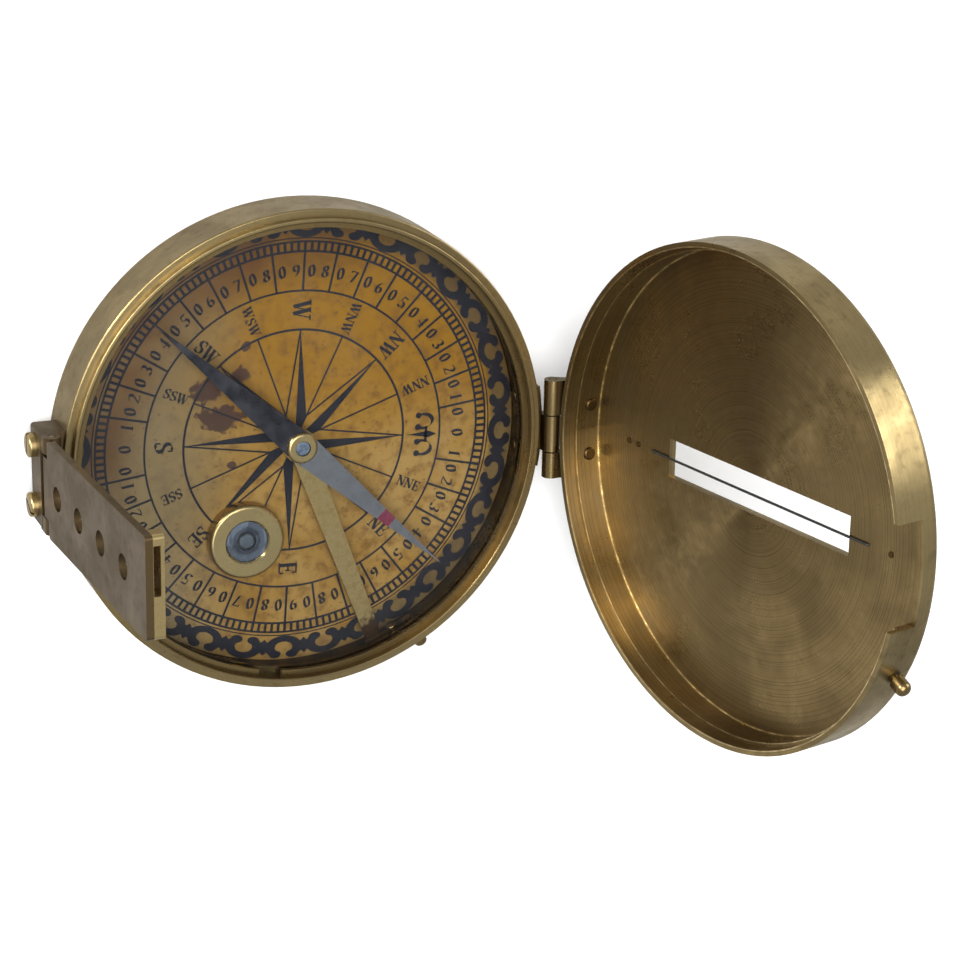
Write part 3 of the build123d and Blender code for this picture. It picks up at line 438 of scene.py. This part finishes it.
small_part("steel", ["pivot_point", "fulcrum_pin"], tint(150, 152, 156), tint(104, 104, 106), 1.0, 0.30)
small_part("jewel", ["needle_jewel"], tint(96, 110, 128), tint(58, 68, 84), 0.0, 0.16, coat=0.6)
small_part("black_wire", ["sight_wire", "wire_pegs"], tint(30, 28, 26), tint(14, 13, 13), 0.0, 0.46)

# %% [markdown]
# ## Glass and the level
# The cover glass is thin and flat, so bending light through it would change nothing that the eye could see.
# It is made of two shaders: clear, and a mirror-like gloss, mixed by Fresnel, which shows more gloss at a
# flat angle. Clear comes from a Transparent shader, so lamps still light the dial below. A faint smoky haze
# and dust vary it.

# %% Glass
SHARP_GLOSS = 0.35  # how much of the Fresnel gloss this old glass still shows


def glass_finish(name, parts, tone, haze):
    f = Finish(name)
    where = f.place()
    smear = f.noise(where, 14.0, detail=5.0, distortion=0.8)
    dust = f.noise(where, 0.35, detail=2.0)
    edge = f.add("ShaderNodeFresnel", {"IOR": 1.45})
    smeared = f.fade(smear, 0.5, 0.8, 0.0, haze)
    gloss = f.maths("ADD", f.maths("MULTIPLY", edge, SHARP_GLOSS), smeared, clamp=True)
    rough = f.fade(dust, 0.3, 0.8, 0.03, 0.12)
    colour = f.mix(f.fade(smear, 0.3, 0.7), tone, tint(236, 238, 240))
    mirror = f.shader(Base_Color=colour, Roughness=rough, Metallic=1.0, Normal=f.bump(smear, 0.01))
    clear = f.add("ShaderNodeBsdfTransparent", {"Color": (0.97, 0.98, 0.98, 1.0)})
    surface = f.add("ShaderNodeMixShader", {0: gloss, 1: clear, 2: mirror})
    return f.done(surface, *parts)


glass_finish("clear_glass", ["cover_glass"], tint(150, 165, 190), 0.015)
glass_finish("level_glass", ["level_glass"], tint(120, 140, 175), 0.10)

# %% [markdown]
# The level is a cup of spirit under a small glass. Its bubble shows as a ring, with painted shade where it
# meets the spirit, standing in for light bent at its edge, and pale in the middle. The ring is drawn by
# distance from the level's own centre, read from the part itself.

# %% Spirit and bubble
cup_low, cup_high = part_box("level_housing")
level_centre = (cup_low + cup_high) / 2


def bubble_finish(name, part, inner, ring, outer, ring_radius):
    f = Finish(name)
    where = f.place((Vector((level_centre.x, level_centre.y, 0)), 0.0))
    radius = f.radius(where)
    cloud = f.noise(where, 1.0, detail=4.0)
    wobble = f.maths("ADD", radius, f.fade(cloud, 0.3, 0.7, -0.12, 0.12))
    # The ring colour is painted shade at the bubble's edge.
    colour = f.mix(f.fade(wobble, ring_radius - 0.45, ring_radius - 0.1), inner, ring)
    colour = f.mix(f.fade(wobble, ring_radius + 0.1, ring_radius + 0.6), colour, outer)
    rough = f.fade(cloud, 0.3, 0.7, 0.10, 0.22)
    surface = f.shader(Base_Color=colour, Roughness=rough, Metallic=0.0, Normal=f.bump(cloud, 0.02),
                       Coat_Weight=0.5)
    return f.done(surface, part)


bubble_low, bubble_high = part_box("level_bubble")
bubble_radius = (bubble_high.x - bubble_low.x) / 2 / mm
bubble_finish("fluid", "level_fluid", tint(96, 104, 120), tint(60, 64, 76), tint(104, 112, 128),
              bubble_radius + 0.3)
bubble_finish("bubble", "level_bubble", tint(96, 104, 114), tint(24, 26, 31), tint(50, 54, 62),
              bubble_radius - 0.2)
print("the bubble is", round(bubble_radius * 2, 2), "mm across")

# %% [markdown]
# ## The dial card
# The dial is a paper card, once cream, now amber from its varnish. It has faded unevenly, carries fine
# specks, and a few dark spots where damp got in. Each stain is a soft blot with a ragged edge: its distance
# from a centre, disturbed by noise. The centres are given on the card itself, with x towards its printed
# north.

# %% Card
PAPER_GLOSS = 0.2
AMBER, STRAW, HONEY, UMBER = tint(140, 104, 38), tint(152, 120, 64), tint(134, 94, 12), tint(104, 70, 24)
FADED, SCORCHED, THREADS = tint(112, 104, 82), tint(88, 56, 24), tint(176, 142, 78)
SPECKS, LID_SHADE_TINT, DAMP = tint(88, 60, 36), tint(62, 56, 44), tint(58, 38, 34)
STAINS = [  # (towards north, towards west, half length, half width) in millimetres
    (-12.2, 4.3, 3.3, 1.9),
    (-14.0, 8.4, 2.3, 1.9),
    (-9.2, 10.9, 1.4, 1.4),
    (-8.4, 15.3, 0.7, 0.6),
    (-10.0, -3.4, 0.8, 0.5),
]


def stain(f, north, west, mottle, blot):
    """How strong one blot is at a point: full in its middle, with a ragged edge."""
    to_north, to_west, half_length, half_width = blot
    u = f.maths("DIVIDE", f.maths("SUBTRACT", north, to_north), half_length)
    v = f.maths("DIVIDE", f.maths("SUBTRACT", west, to_west), half_width)
    ragged = f.maths("ADD", f.length(u, v), f.fade(mottle, 0.3, 0.7, -0.45, 0.45))
    return f.fade(ragged, 1.2, 0.9, 0.0, 0.9)


def card_colour(f, where, clouds, mottle, fibre):
    """Amber paper, with everything that time has done to it laid over it in turn, and painted shade of the
    open lid over the border towards north.
    """
    north, west, _ = f.parts(where)
    radius = f.radius(where)
    colour = f.mix(f.fade(clouds, 0.35, 0.65), AMBER, STRAW)
    varnish = f.fade(f.maths("ADD", west, f.maths("MULTIPLY", clouds, 12.0)), 2.0, 18.0)
    colour = f.mix(varnish, colour, HONEY)
    colour = f.mix(f.fade(mottle, 0.42, 0.72, 0.0, 0.75), colour, UMBER)
    faded = f.fade(f.maths("ADD", north, f.maths("MULTIPLY", clouds, 10.0)), 0.0, -16.0)
    colour = f.mix(f.maths("MULTIPLY", faded, 0.6), colour, FADED)
    scorch = f.fade(f.maths("SUBTRACT", west, north), 12.0, 32.0)  # towards the south-west
    scorch = f.maths("MULTIPLY", scorch, f.fade(radius, 22.0, 30.0))
    scorch = f.maths("MULTIPLY", scorch, f.fade(clouds, 0.3, 0.6, 0.45, 0.9))
    colour = f.mix(scorch, colour, SCORCHED)
    colour = f.mix(f.fade(fibre, 0.66, 0.78, 0.0, 0.35), colour, THREADS)
    specks = f.noise(where, 0.45, detail=1.0)
    colour = f.mix(f.fade(specks, 0.65, 0.74, 0.0, 0.6), colour, SPECKS)
    # Painted shade of the open lid, darkening the outer border towards north.
    lid_shade = f.maths("MULTIPLY", f.fade(radius, 31.8, 33.0), f.fade(north, 0.0, 24.0, 0.15, 0.7))
    colour = f.mix(lid_shade, colour, LID_SHADE_TINT)
    for blot in STAINS:
        colour = f.mix(stain(f, north, west, mottle, blot), colour, DAMP)
    return colour


def card_finish():
    f = Finish("card")
    where = f.place(turn=DIAL_TURN)
    clouds = f.noise(where, 11.0, detail=6.0, distortion=0.5)
    mottle = f.noise(where, 1.8, detail=6.0, roughness=0.62)
    fibre = f.noise(f.stretch(where, (1.0, 0.25, 1.0)), 0.3, detail=4.0)
    colour = card_colour(f, where, clouds, mottle, fibre)
    rough = f.fade(mottle, 0.3, 0.7, 0.42, 0.6)
    relief = f.bump(fibre, 0.01, f.bump(mottle, 0.02))
    surface = f.shader(Base_Color=colour, Roughness=rough, Metallic=0.0, Normal=relief,
                       Specular_IOR_Level=PAPER_GLOSS)
    return f.done(surface, "dial_card")


card_finish()

# %% [markdown]
# ## Printing the dial
# The print is ink, so each mark is a thin flat shape a hair above the card, in its own mesh. Drawing it as
# geometry keeps every line sharp at any distance. All marks are drawn with north along +X and west along
# +Y, and the finished sheet is then turned to match the card. Ink soaks in unevenly, so it is not quite one
# black.

# %% Ink
INK_LIFT, INK_LAYER, STROKE_LAYER = 0.02, 0.012, 0.003


def ink_finish():
    f = Finish("ink")
    where = f.place(turn=DIAL_TURN)
    worn = f.noise(where, 0.5, detail=5.0, roughness=0.65)
    patch = f.noise(where, 5.0, detail=4.0)
    colour = f.mix(f.fade(patch, 0.35, 0.65), tint(22, 23, 31), tint(32, 31, 37))
    colour = f.mix(f.fade(worn, 0.6, 0.8, 0.0, 0.6), colour, tint(112, 84, 52))
    rough = f.fade(worn, 0.3, 0.7, 0.4, 0.56)
    surface = f.shader(Base_Color=colour, Roughness=rough, Metallic=0.0, Normal=f.bump(worn, 0.005),
                       Specular_IOR_Level=PAPER_GLOSS)
    return f.done(surface)


ink = ink_finish()


def at(angle, radius):
    """A point of the dial: `angle` degrees clockwise from north, `radius` millimetres out."""
    return Vector((math.cos(math.radians(angle)), -math.sin(math.radians(angle)), 0)) * radius


def print_on_card(name, bm, layer=0):
    """Turns a drawing into a piece of print: it lies on the card, on its own layer, and rides on the case."""
    bmesh.ops.remove_doubles(bm, verts=bm.verts, dist=0.0005)
    facing_down = [face for face in bm.faces if face.normal.z < 0]
    bmesh.ops.reverse_faces(bm, faces=facing_down)
    lift = (INK_LIFT + layer * INK_LAYER) * mm
    lie = Matrix.Translation((0, 0, card_top + lift)) @ Matrix.Rotation(DIAL_TURN, 4, "Z")
    bmesh.ops.transform(bm, matrix=lie @ Matrix.Scale(mm, 4), verts=bm.verts)
    mesh = bpy.data.meshes.new(name)
    bm.to_mesh(mesh)
    bm.free()
    piece = bpy.data.objects.new(name, mesh)
    bpy.context.scene.collection.objects.link(piece)
    mesh.materials.append(ink)
    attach(piece, "case")
    print(name, "has", len(mesh.polygons), "faces")
    return piece


# %% [markdown]
# The circles and the degree ladder come first. A circle is a short edge spun about the centre, and a
# straight mark is a one-square grid, stretched to length and turned into place.

# %% Circles, degree marks and radial lines
ROSE_EDGE, LETTERS_EDGE, NUMBERS_EDGE, LADDER_EDGE, OUTER_LINE = 17.7, 23.8, 29.9, 31.4, 31.95


def circle(bm, radius, width):
    start = [bm.verts.new((radius - width / 2, 0, 0)), bm.verts.new((radius + width / 2, 0, 0))]
    edge = bm.edges.new(start)
    bmesh.ops.spin(bm, geom=[*start, edge], cent=(0, 0, 0), axis=(0, 0, 1), angle=FULL_TURN, steps=180,
                   use_merge=True)


def bar(bm, angle, inner, outer, width):
    """A straight mark along a radius."""
    size = Matrix.Diagonal(((outer - inner) / 2, width / 2, 1, 1))
    there = Matrix.Translation(at(angle, (inner + outer) / 2)) @ Matrix.Rotation(-math.radians(angle), 4, "Z")
    bmesh.ops.create_grid(bm, x_segments=1, y_segments=1, size=1.0, matrix=there @ size)


rings = bmesh.new()
for radius, width in ((ROSE_EDGE, 0.36), (LETTERS_EDGE, 0.32), (NUMBERS_EDGE, 0.36), (LADDER_EDGE, 0.34),
                      (OUTER_LINE, 0.20)):
    circle(rings, radius, width)
print_on_card("print_circles", rings)

TICK_WIDTH, LINE_WIDTH = 0.46, 0.36
marks = bmesh.new()
for degree in range(0, 360, 2):
    bar(marks, degree, NUMBERS_EDGE, LADDER_EDGE, TICK_WIDTH)
for degree in range(10, 360, 10):
    if degree != 180:
        bar(marks, degree, LETTERS_EDGE, NUMBERS_EDGE, LINE_WIDTH)
print_on_card("print_marks", marks, layer=1)

# %% [markdown]
# The lettering has the thick and thin strokes of engraved capitals. Each letter below is a few strokes in a
# box one unit tall, after the width of that box. A stroke is a nib and the points it passes, and round
# parts are given as arcs.

# %% The alphabet
BROAD, FINE = Vector((0.21, 0.09, 0)), Vector((0.09, 0.09, 0))


def arc(x, y, wide, tall, start, end, steps=12):
    """Points along part of an ellipse, from start to end degrees."""
    turns = [math.radians(start + (end - start) * i / steps) for i in range(steps + 1)]
    return [(x + wide * math.cos(a), y + tall * math.sin(a)) for a in turns]


def foot(x, y, half=0.15):
    return FINE, [(x - half, y), (x + half, y)]


CAPITALS = {
    "N": (0.86, [(FINE, [(0.14, 0.03), (0.14, 0.95)]), (BROAD, [(0.12, 0.95), (0.68, 0.05)]),
                 (FINE, [(0.70, 0.03), (0.70, 0.95)]), foot(0.14, 0.03), foot(0.10, 0.95), foot(0.70, 0.95)]),
    "E": (0.74, [(BROAD, [(0.20, 0.03), (0.20, 0.95)]), (FINE, [(0.06, 0.95), (0.64, 0.95), (0.66, 0.74)]),
                 (FINE, [(0.06, 0.03), (0.66, 0.03), (0.68, 0.27)]), (FINE, [(0.20, 0.50), (0.52, 0.50)]),
                 (FINE, [(0.52, 0.38), (0.52, 0.62)])]),
    "S": (0.68, [(BROAD, arc(0.34, 0.73, 0.20, 0.22, 40, 250) + arc(0.34, 0.26, 0.23, 0.23, 90, -140)),
                 (FINE, [(0.56, 0.94), (0.56, 0.70)]), (FINE, [(0.10, 0.06), (0.10, 0.32)])]),
    "W": (1.16, [(BROAD, [(0.16, 0.95), (0.38, 0.05)]), (FINE, [(0.40, 0.05), (0.60, 0.90)]),
                 (BROAD, [(0.56, 0.95), (0.78, 0.05)]), (FINE, [(0.80, 0.05), (1.02, 0.95)]),
                 foot(0.16, 0.95), foot(0.58, 0.95), foot(1.02, 0.95)]),
}
NUMERALS = {
    "0": (0.66, [(BROAD, arc(0.33, 0.49, 0.20, 0.45, 0, 360, 20))]),
    "1": (0.50, [(BROAD, [(0.25, 0.95), (0.25, 0.03)]), (FINE, [(0.10, 0.80), (0.25, 0.95)]),
                 foot(0.25, 0.03)]),
    "2": (0.66, [(BROAD, arc(0.31, 0.70, 0.20, 0.24, 160, -30) + [(0.10, 0.08)]),
                 (BROAD, [(0.10, 0.06), (0.56, 0.06)]), (FINE, [(0.56, 0.06), (0.60, 0.24)])]),
    "3": (0.64, [(BROAD, arc(0.29, 0.72, 0.18, 0.22, 150, -80)),
                 (BROAD, arc(0.29, 0.27, 0.22, 0.24, 90, -150))]),
    "4": (0.68, [(BROAD, [(0.44, 0.95), (0.44, 0.03)]), (FINE, [(0.42, 0.95), (0.06, 0.30), (0.64, 0.30)]),
                 foot(0.44, 0.03)]),
    "5": (0.64, [(FINE, [(0.14, 0.95), (0.54, 0.95)]), (FINE, [(0.14, 0.95), (0.12, 0.52)]),
                 (BROAD, arc(0.28, 0.30, 0.22, 0.26, 115, -150)), (BROAD, [(0.14, 0.90), (0.50, 0.90)])]),
    "6": (0.66, [(BROAD, arc(0.52, 0.34, 0.40, 0.58, 100, 180)),
                 (BROAD, arc(0.32, 0.28, 0.20, 0.24, 0, 360, 18))]),
    "7": (0.62, [(BROAD, [(0.08, 0.90), (0.56, 0.90)]), (BROAD, [(0.54, 0.92), (0.24, 0.03)]),
                 (FINE, [(0.08, 0.94), (0.08, 0.74)])]),
    "8": (0.66, [(BROAD, arc(0.33, 0.72, 0.16, 0.21, 0, 360, 18)),
                 (BROAD, arc(0.33, 0.26, 0.20, 0.22, 0, 360, 18))]),
    "9": (0.66, [(BROAD, arc(0.33, 0.70, 0.20, 0.24, 0, 360, 18)),
                 (BROAD, arc(0.13, 0.64, 0.40, 0.58, -80, 0))]),
}
print(len(CAPITALS), "capitals and", len(NUMERALS), "numerals")

# %% [markdown]
# A broad nib makes thick and thin by itself: it is a short edge, held at one slant, and pulled along the
# stroke. Down-strokes come out wide and cross-strokes narrow.

# %% A broad-nib pen


def stroke(bm, nib, points, place):
    """Pulls a nib along the points. `place` puts the letter's box on the card."""
    first = Vector((*points[0], 0))
    corners = [bm.verts.new(place @ (first + side * nib / 2)) for side in (-1, 1)]
    edge = bm.edges.new(corners)
    for here, there in zip(points, points[1:]):
        grown = bmesh.ops.extrude_edge_only(bm, edges=[edge])["geom"]
        edge = next(g for g in grown if isinstance(g, bmesh.types.BMEdge))
        step = place.to_3x3() @ Vector((there[0] - here[0], there[1] - here[1], 0))
        bmesh.ops.translate(bm, vec=step, verts=edge.verts[:])


def word_width(text, alphabet):
    return sum(alphabet[letter][0] for letter in text)


def write(bm, text, alphabet, centre, heading, height, narrow=1.0):
    """Writes text about a centre, reading along `heading` degrees anticlockwise from north."""
    turn = Matrix.Translation(centre) @ Matrix.Rotation(math.radians(heading), 4, "Z")
    size = Matrix.Diagonal((height * narrow, height, 1, 1))
    start = -word_width(text, alphabet) / 2
    for letter in text:
        width, strokes = alphabet[letter]
        place = turn @ size @ Matrix.Translation((start, -0.5, 0))
        for order, (nib, points) in enumerate(strokes):
            stroke(bm, nib, points, Matrix.Translation((0, 0, order * STROKE_LAYER)) @ place)
        start += width


print("NNE is", round(word_width("NNE", CAPITALS), 2), "times as wide as it is tall")

# %% [markdown]
# The numbers count 0 to 90 from north and from south towards east and west. Each 10-degree line runs
# between its two digits. Their tops point outwards, so they read clockwise round the dial.

# %% Numbers
NUMBER_RADIUS, NUMBER_HEIGHT, DIGIT_OFFSET = 26.85, 2.0, 1.25
numbers = bmesh.new()
for degree in range(0, 360, 10):
    value = min(degree % 180, 180 - degree % 180)
    reading = -degree - 90
    if value == 0:
        write(numbers, "0", NUMERALS, at(degree, NUMBER_RADIUS), reading, NUMBER_HEIGHT)
        continue
    for digit, side in zip(str(value), (-1, 1)):
        beside = at(degree, NUMBER_RADIUS) + at(degree + 90, DIGIT_OFFSET * side)
        write(numbers, digit, NUMERALS, beside, reading, NUMBER_HEIGHT)
print_on_card("print_numbers", numbers)

# %% [markdown]
# The points of the compass are written along the radii. On the east half they read outwards and on the west
# half inwards, so all of them read left to right when north is up. South, east and west stand upright.

# %% Letters
LETTER_RADIUS = 20.75
LETTER_HEIGHTS, LETTER_NARROWING = {1: 3.0, 2: 2.35, 3: 1.65}, {1: 0.92, 2: 0.92, 3: 0.98}
WINDS = ["N", "NNE", "NE", "ENE", "E", "ESE", "SE", "SSE", "S", "SSW", "SW", "WSW", "W", "WNW", "NW", "NNW"]
letters = bmesh.new()
for number, wind in enumerate(WINDS):
    bearing = number * 22.5
    if wind == "N":
        continue
    if len(wind) == 1:
        reading = -90
    else:
        reading = -bearing if bearing < 180 else 180 - bearing
    write(letters, wind, CAPITALS, at(bearing, LETTER_RADIUS), reading, LETTER_HEIGHTS[len(wind)],
          narrow=LETTER_NARROWING[len(wind)])
print_on_card("print_letters", letters)

# %% [markdown]
# North has a fleur-de-lis in place of its letter: a pointed leaf with a scroll on each side and a bar
# across. One scroll is drawn with the pen, with a ball at each end, and the other is its mirror image.

# %% Fleur-de-lis at north
SCROLL_NIB, SCROLL_BALL = Vector((0.5, 0.42, 0)), 0.5
fleur = bmesh.new()
lily_foot, lily_tip, lily_middle = ROSE_EDGE + 0.7, LETTERS_EDGE - 0.5, 21.0
leaf = [(lily_foot, 0), (lily_middle - 0.6, 0.3), (lily_tip - 1.3, 0.55), (lily_tip, 0),
        (lily_tip - 1.3, -0.55), (lily_middle - 0.6, -0.3)]
fleur.faces.new([fleur.verts.new((x, y, 0)) for x, y in leaf])
bar(fleur, 0, lily_middle + 0.3, lily_middle + 0.75, 2.6)
for side in (-1, 1):
    flip = Matrix.Diagonal((1, side, 1, 1))
    curl = arc(lily_middle, 2.15, 1.5, 1.15, 125, -125, 18)
    stroke(fleur, SCROLL_NIB, curl, flip)
    for x, y in (curl[0], curl[-1]):
        bmesh.ops.create_circle(fleur, cap_ends=True, radius=SCROLL_BALL, segments=14,
                                matrix=Matrix.Translation((x, y * side, STROKE_LAYER)))
print_on_card("print_fleur", fleur, layer=1)

# %% [markdown]
# The rose has eight long rays. Each is split down its middle: the clockwise half is solid black and the
# other half is only outlined, which makes the rays look folded. Thin lines mark the eight winds in between.

# %% Rose
VALLEY, OUTLINE = 4.3, 0.26
rose = bmesh.new()


def thin_line(bm, start, end, width):
    """A straight line of ink between two points."""
    along = end - start
    size = Matrix.Diagonal((along.length / 2, width / 2, 1, 1))
    turn = Matrix.Rotation(math.atan2(along.y, along.x), 4, "Z")
    bmesh.ops.create_grid(bm, x_segments=1, y_segments=1, size=1.0,
                          matrix=Matrix.Translation((start + end) / 2) @ turn @ size)


for bearing in range(0, 360, 45):
    tip = at(bearing, ROSE_EDGE)
    over = Vector((0, 0, STROKE_LAYER))
    black_valley, open_valley = at(bearing + 22.5, VALLEY), at(bearing - 22.5, VALLEY)
    rose.faces.new([rose.verts.new(p) for p in (Vector((0, 0, 0)), black_valley, tip)])
    thin_line(rose, open_valley + over, tip + over, OUTLINE)
    thin_line(rose, over * 2, open_valley + over * 2, OUTLINE)
    thin_line(rose, black_valley + over * 3, at(bearing + 22.5, ROSE_EDGE) + over * 3, OUTLINE)
print_on_card("print_rose", rose, layer=2)

# %% [markdown]
# A border of scrolls runs round the edge. One scroll is a piece of ring, spun about its own centre and
# squeezed into an oval, with a ball at each end. Sixteen open inwards and sixteen outwards, and a small
# lozenge fills each gap between neighbours.

# %% Scroll border
BORDER_RADIUS, SCROLL_HALF, SCROLL_RISE = 34.0, 2.25, 1.45
SCROLL_WIDTH, SCROLL_GAP, BALL, LOZENGE, SCROLLS = 1.6, 38, 1.0, 0.95, 32
gap_side = math.radians(SCROLL_GAP)
border = bmesh.new()


def scroll(bm, bearing, facing, level):
    """One scroll with its balls, squeezed, turned to its bearing and set `level` above the sheet."""
    inner = SCROLL_HALF - SCROLL_WIDTH / 2
    from_gap = math.radians(180 + SCROLL_GAP)
    start = [bm.verts.new((r * math.cos(from_gap), r * math.sin(from_gap), level))
             for r in (inner, inner + SCROLL_WIDTH)]
    bmesh.ops.spin(bm, geom=[*start, bm.edges.new(start)], cent=(0, 0, 0), axis=(0, 0, 1),
                   angle=FULL_TURN - 2 * gap_side, steps=18)
    shape = {v for face in bm.faces if not face.tag for v in face.verts}
    for side in (-1, 1):
        end = Vector((-SCROLL_HALF * math.cos(gap_side), side * SCROLL_HALF * math.sin(gap_side),
                      STROKE_LAYER * (2 + side)))
        ball = bmesh.ops.create_circle(bm, cap_ends=True, radius=BALL, segments=14,
                                       matrix=Matrix.Translation(end))
        shape.update(ball["verts"])
    squeeze = Matrix.Diagonal((SCROLL_RISE / SCROLL_HALF, 1, 1, 1))
    place = (Matrix.Rotation(-math.radians(bearing), 4, "Z") @ Matrix.Translation((BORDER_RADIUS, 0, 0))
             @ Matrix.Rotation(math.radians(facing), 4, "Z") @ squeeze)
    bmesh.ops.transform(bm, matrix=place, verts=list(shape))


for number in range(SCROLLS):
    bearing = number * 360 / SCROLLS
    opens_in = number % 2 == 1
    scroll(border, bearing, 0 if opens_in else 180, STROKE_LAYER * (6 if opens_in else 0))
    between = bearing + 180 / SCROLLS
    knot = (Matrix.Translation(at(between, BORDER_RADIUS) + Vector((0, 0, STROKE_LAYER * 4)))
            @ Matrix.Rotation(-math.radians(between + 45), 4, "Z"))
    bmesh.ops.create_grid(border, x_segments=1, y_segments=1, size=LOZENGE, matrix=knot)
    for face in border.faces:
        face.tag = True  # so that the next scroll finds only its own faces
print_on_card("print_border", border)

# %% [markdown]
# ## The studio
# The compass stands open on a pale sheet under soft light. Bare metal mirrors whatever is round it, and a
# wholly white floor would wash the brass out. So the sheet looks white when seen directly and grey to the
# rays that bounce off the compass, as when shiny metal is surrounded with grey card.

# %% Floor
SHEET_HALF, SHEET_DROP = 1.6, 0.05 * mm


def floor_finish():
    f = Finish("paper_floor")
    where = f.place()
    weave = f.noise(where, 0.8, detail=4.0)
    wide = f.noise(where, 220.0, detail=3.0)
    colour = f.mix(f.fade(wide, 0.3, 0.7), tint(246, 246, 246), tint(250, 250, 249))
    rough = f.fade(weave, 0.3, 0.7, 0.75, 0.9)
    white = f.shader(Base_Color=colour, Roughness=rough, Normal=f.bump(weave, 0.01))
    grey = f.shader(Base_Color=f.mix(f.fade(wide, 0.3, 0.7), tint(168, 166, 161), tint(176, 174, 169)),
                    Roughness=rough)
    seen_directly = f.add("ShaderNodeLightPath", output="Is Camera Ray")
    return f.done(f.add("ShaderNodeMixShader", {0: seen_directly, 1: grey, 2: white}))


sheet = bmesh.new()
bmesh.ops.create_grid(sheet, x_segments=2, y_segments=2, size=SHEET_HALF)
bmesh.ops.translate(sheet, vec=(0, 0, at_load[0][2] - SHEET_DROP), verts=sheet.verts)
floor_mesh = bpy.data.meshes.new("paper_floor")
sheet.to_mesh(floor_mesh)
sheet.free()
floor_mesh.materials.append(floor_finish())
paper_floor = bpy.data.objects.new("paper_floor", floor_mesh)
bpy.context.scene.collection.objects.link(paper_floor)
print("floor at", round(floor_mesh.vertices[0].co.z / mm, 2), "mm")

# %% [markdown]
# A large soft lamp hangs overhead, a second one stands low on the lid's side to draw a pale streak down the
# lid's edge, and a third fills in from the left. The sky is an even pale grey, so metal has something calm
# to mirror.

# %% Lamps and sky
SKY_COLOUR, SKY_STRENGTH = (0.96, 0.98, 1.0, 1.0), 0.55


def soft_lamp(name, towards, distance, size, watts):
    """A square soft box, `distance` metres from the compass in the direction `towards`, facing it."""
    data = bpy.data.lights.new(name, "AREA")
    data.shape, data.size, data.energy = "SQUARE", size, watts
    lamp = bpy.data.objects.new(name, data)
    bpy.context.scene.collection.objects.link(lamp)
    aim = Vector(towards).normalized()
    lamp.matrix_world = Matrix.Translation(aim * distance) @ aim.to_track_quat("Z", "Y").to_matrix().to_4x4()
    print(name, "of", watts, "W")


soft_lamp("lamp_overhead", towards=(-0.25, 0.15, 1.0), distance=0.9, size=0.7, watts=9.0)
soft_lamp("lamp_lid_side", towards=(0.80, 0.42, 0.42), distance=0.8, size=0.36, watts=2.6)
soft_lamp("lamp_left", towards=(-0.8, 0.5, 0.35), distance=1.0, size=0.3, watts=9.0)

sky = bpy.data.worlds.new("soft_sky")
bpy.context.scene.world = sky
sky.use_nodes = True
backdrop = sky.node_tree.nodes["Background"]
backdrop.inputs["Color"].default_value = SKY_COLOUR
backdrop.inputs["Strength"].default_value = SKY_STRENGTH
bpy.context.scene.view_settings.view_transform = "Standard"

# %% [markdown]
# The camera looks down on the open compass from beyond the vane, and is rolled so that the lid lies to the
# right. A long lens from a little under half a metre keeps the circles nearly true.

# %% Camera
CAMERA_AIM = Vector((27.7, -6.96, 10.0)) * mm
CAMERA_DISTANCE, CAMERA_LENS = 443.4 * mm, 107.2
CAMERA_AZIMUTH, CAMERA_ELEVATION, CAMERA_ROLL = (math.radians(a) for a in (137.32, 60.53, 130.05))
back = Vector((math.cos(CAMERA_ELEVATION) * math.cos(CAMERA_AZIMUTH),
               math.cos(CAMERA_ELEVATION) * math.sin(CAMERA_AZIMUTH), math.sin(CAMERA_ELEVATION)))
camera = bpy.data.objects.new("camera", bpy.data.cameras.new("camera"))
camera.data.lens = CAMERA_LENS
camera.data.clip_start = 1 * mm
bpy.context.scene.collection.objects.link(camera)
camera.matrix_world = (Matrix.Translation(CAMERA_AIM + back * CAMERA_DISTANCE)
                       @ back.to_track_quat("Z", "Y").to_matrix().to_4x4()
                       @ Matrix.Rotation(CAMERA_ROLL, 4, "Z"))
bpy.context.scene.camera = camera
print("camera at", [round(c / mm, 1) for c in camera.location], "mm")

# %% [markdown]
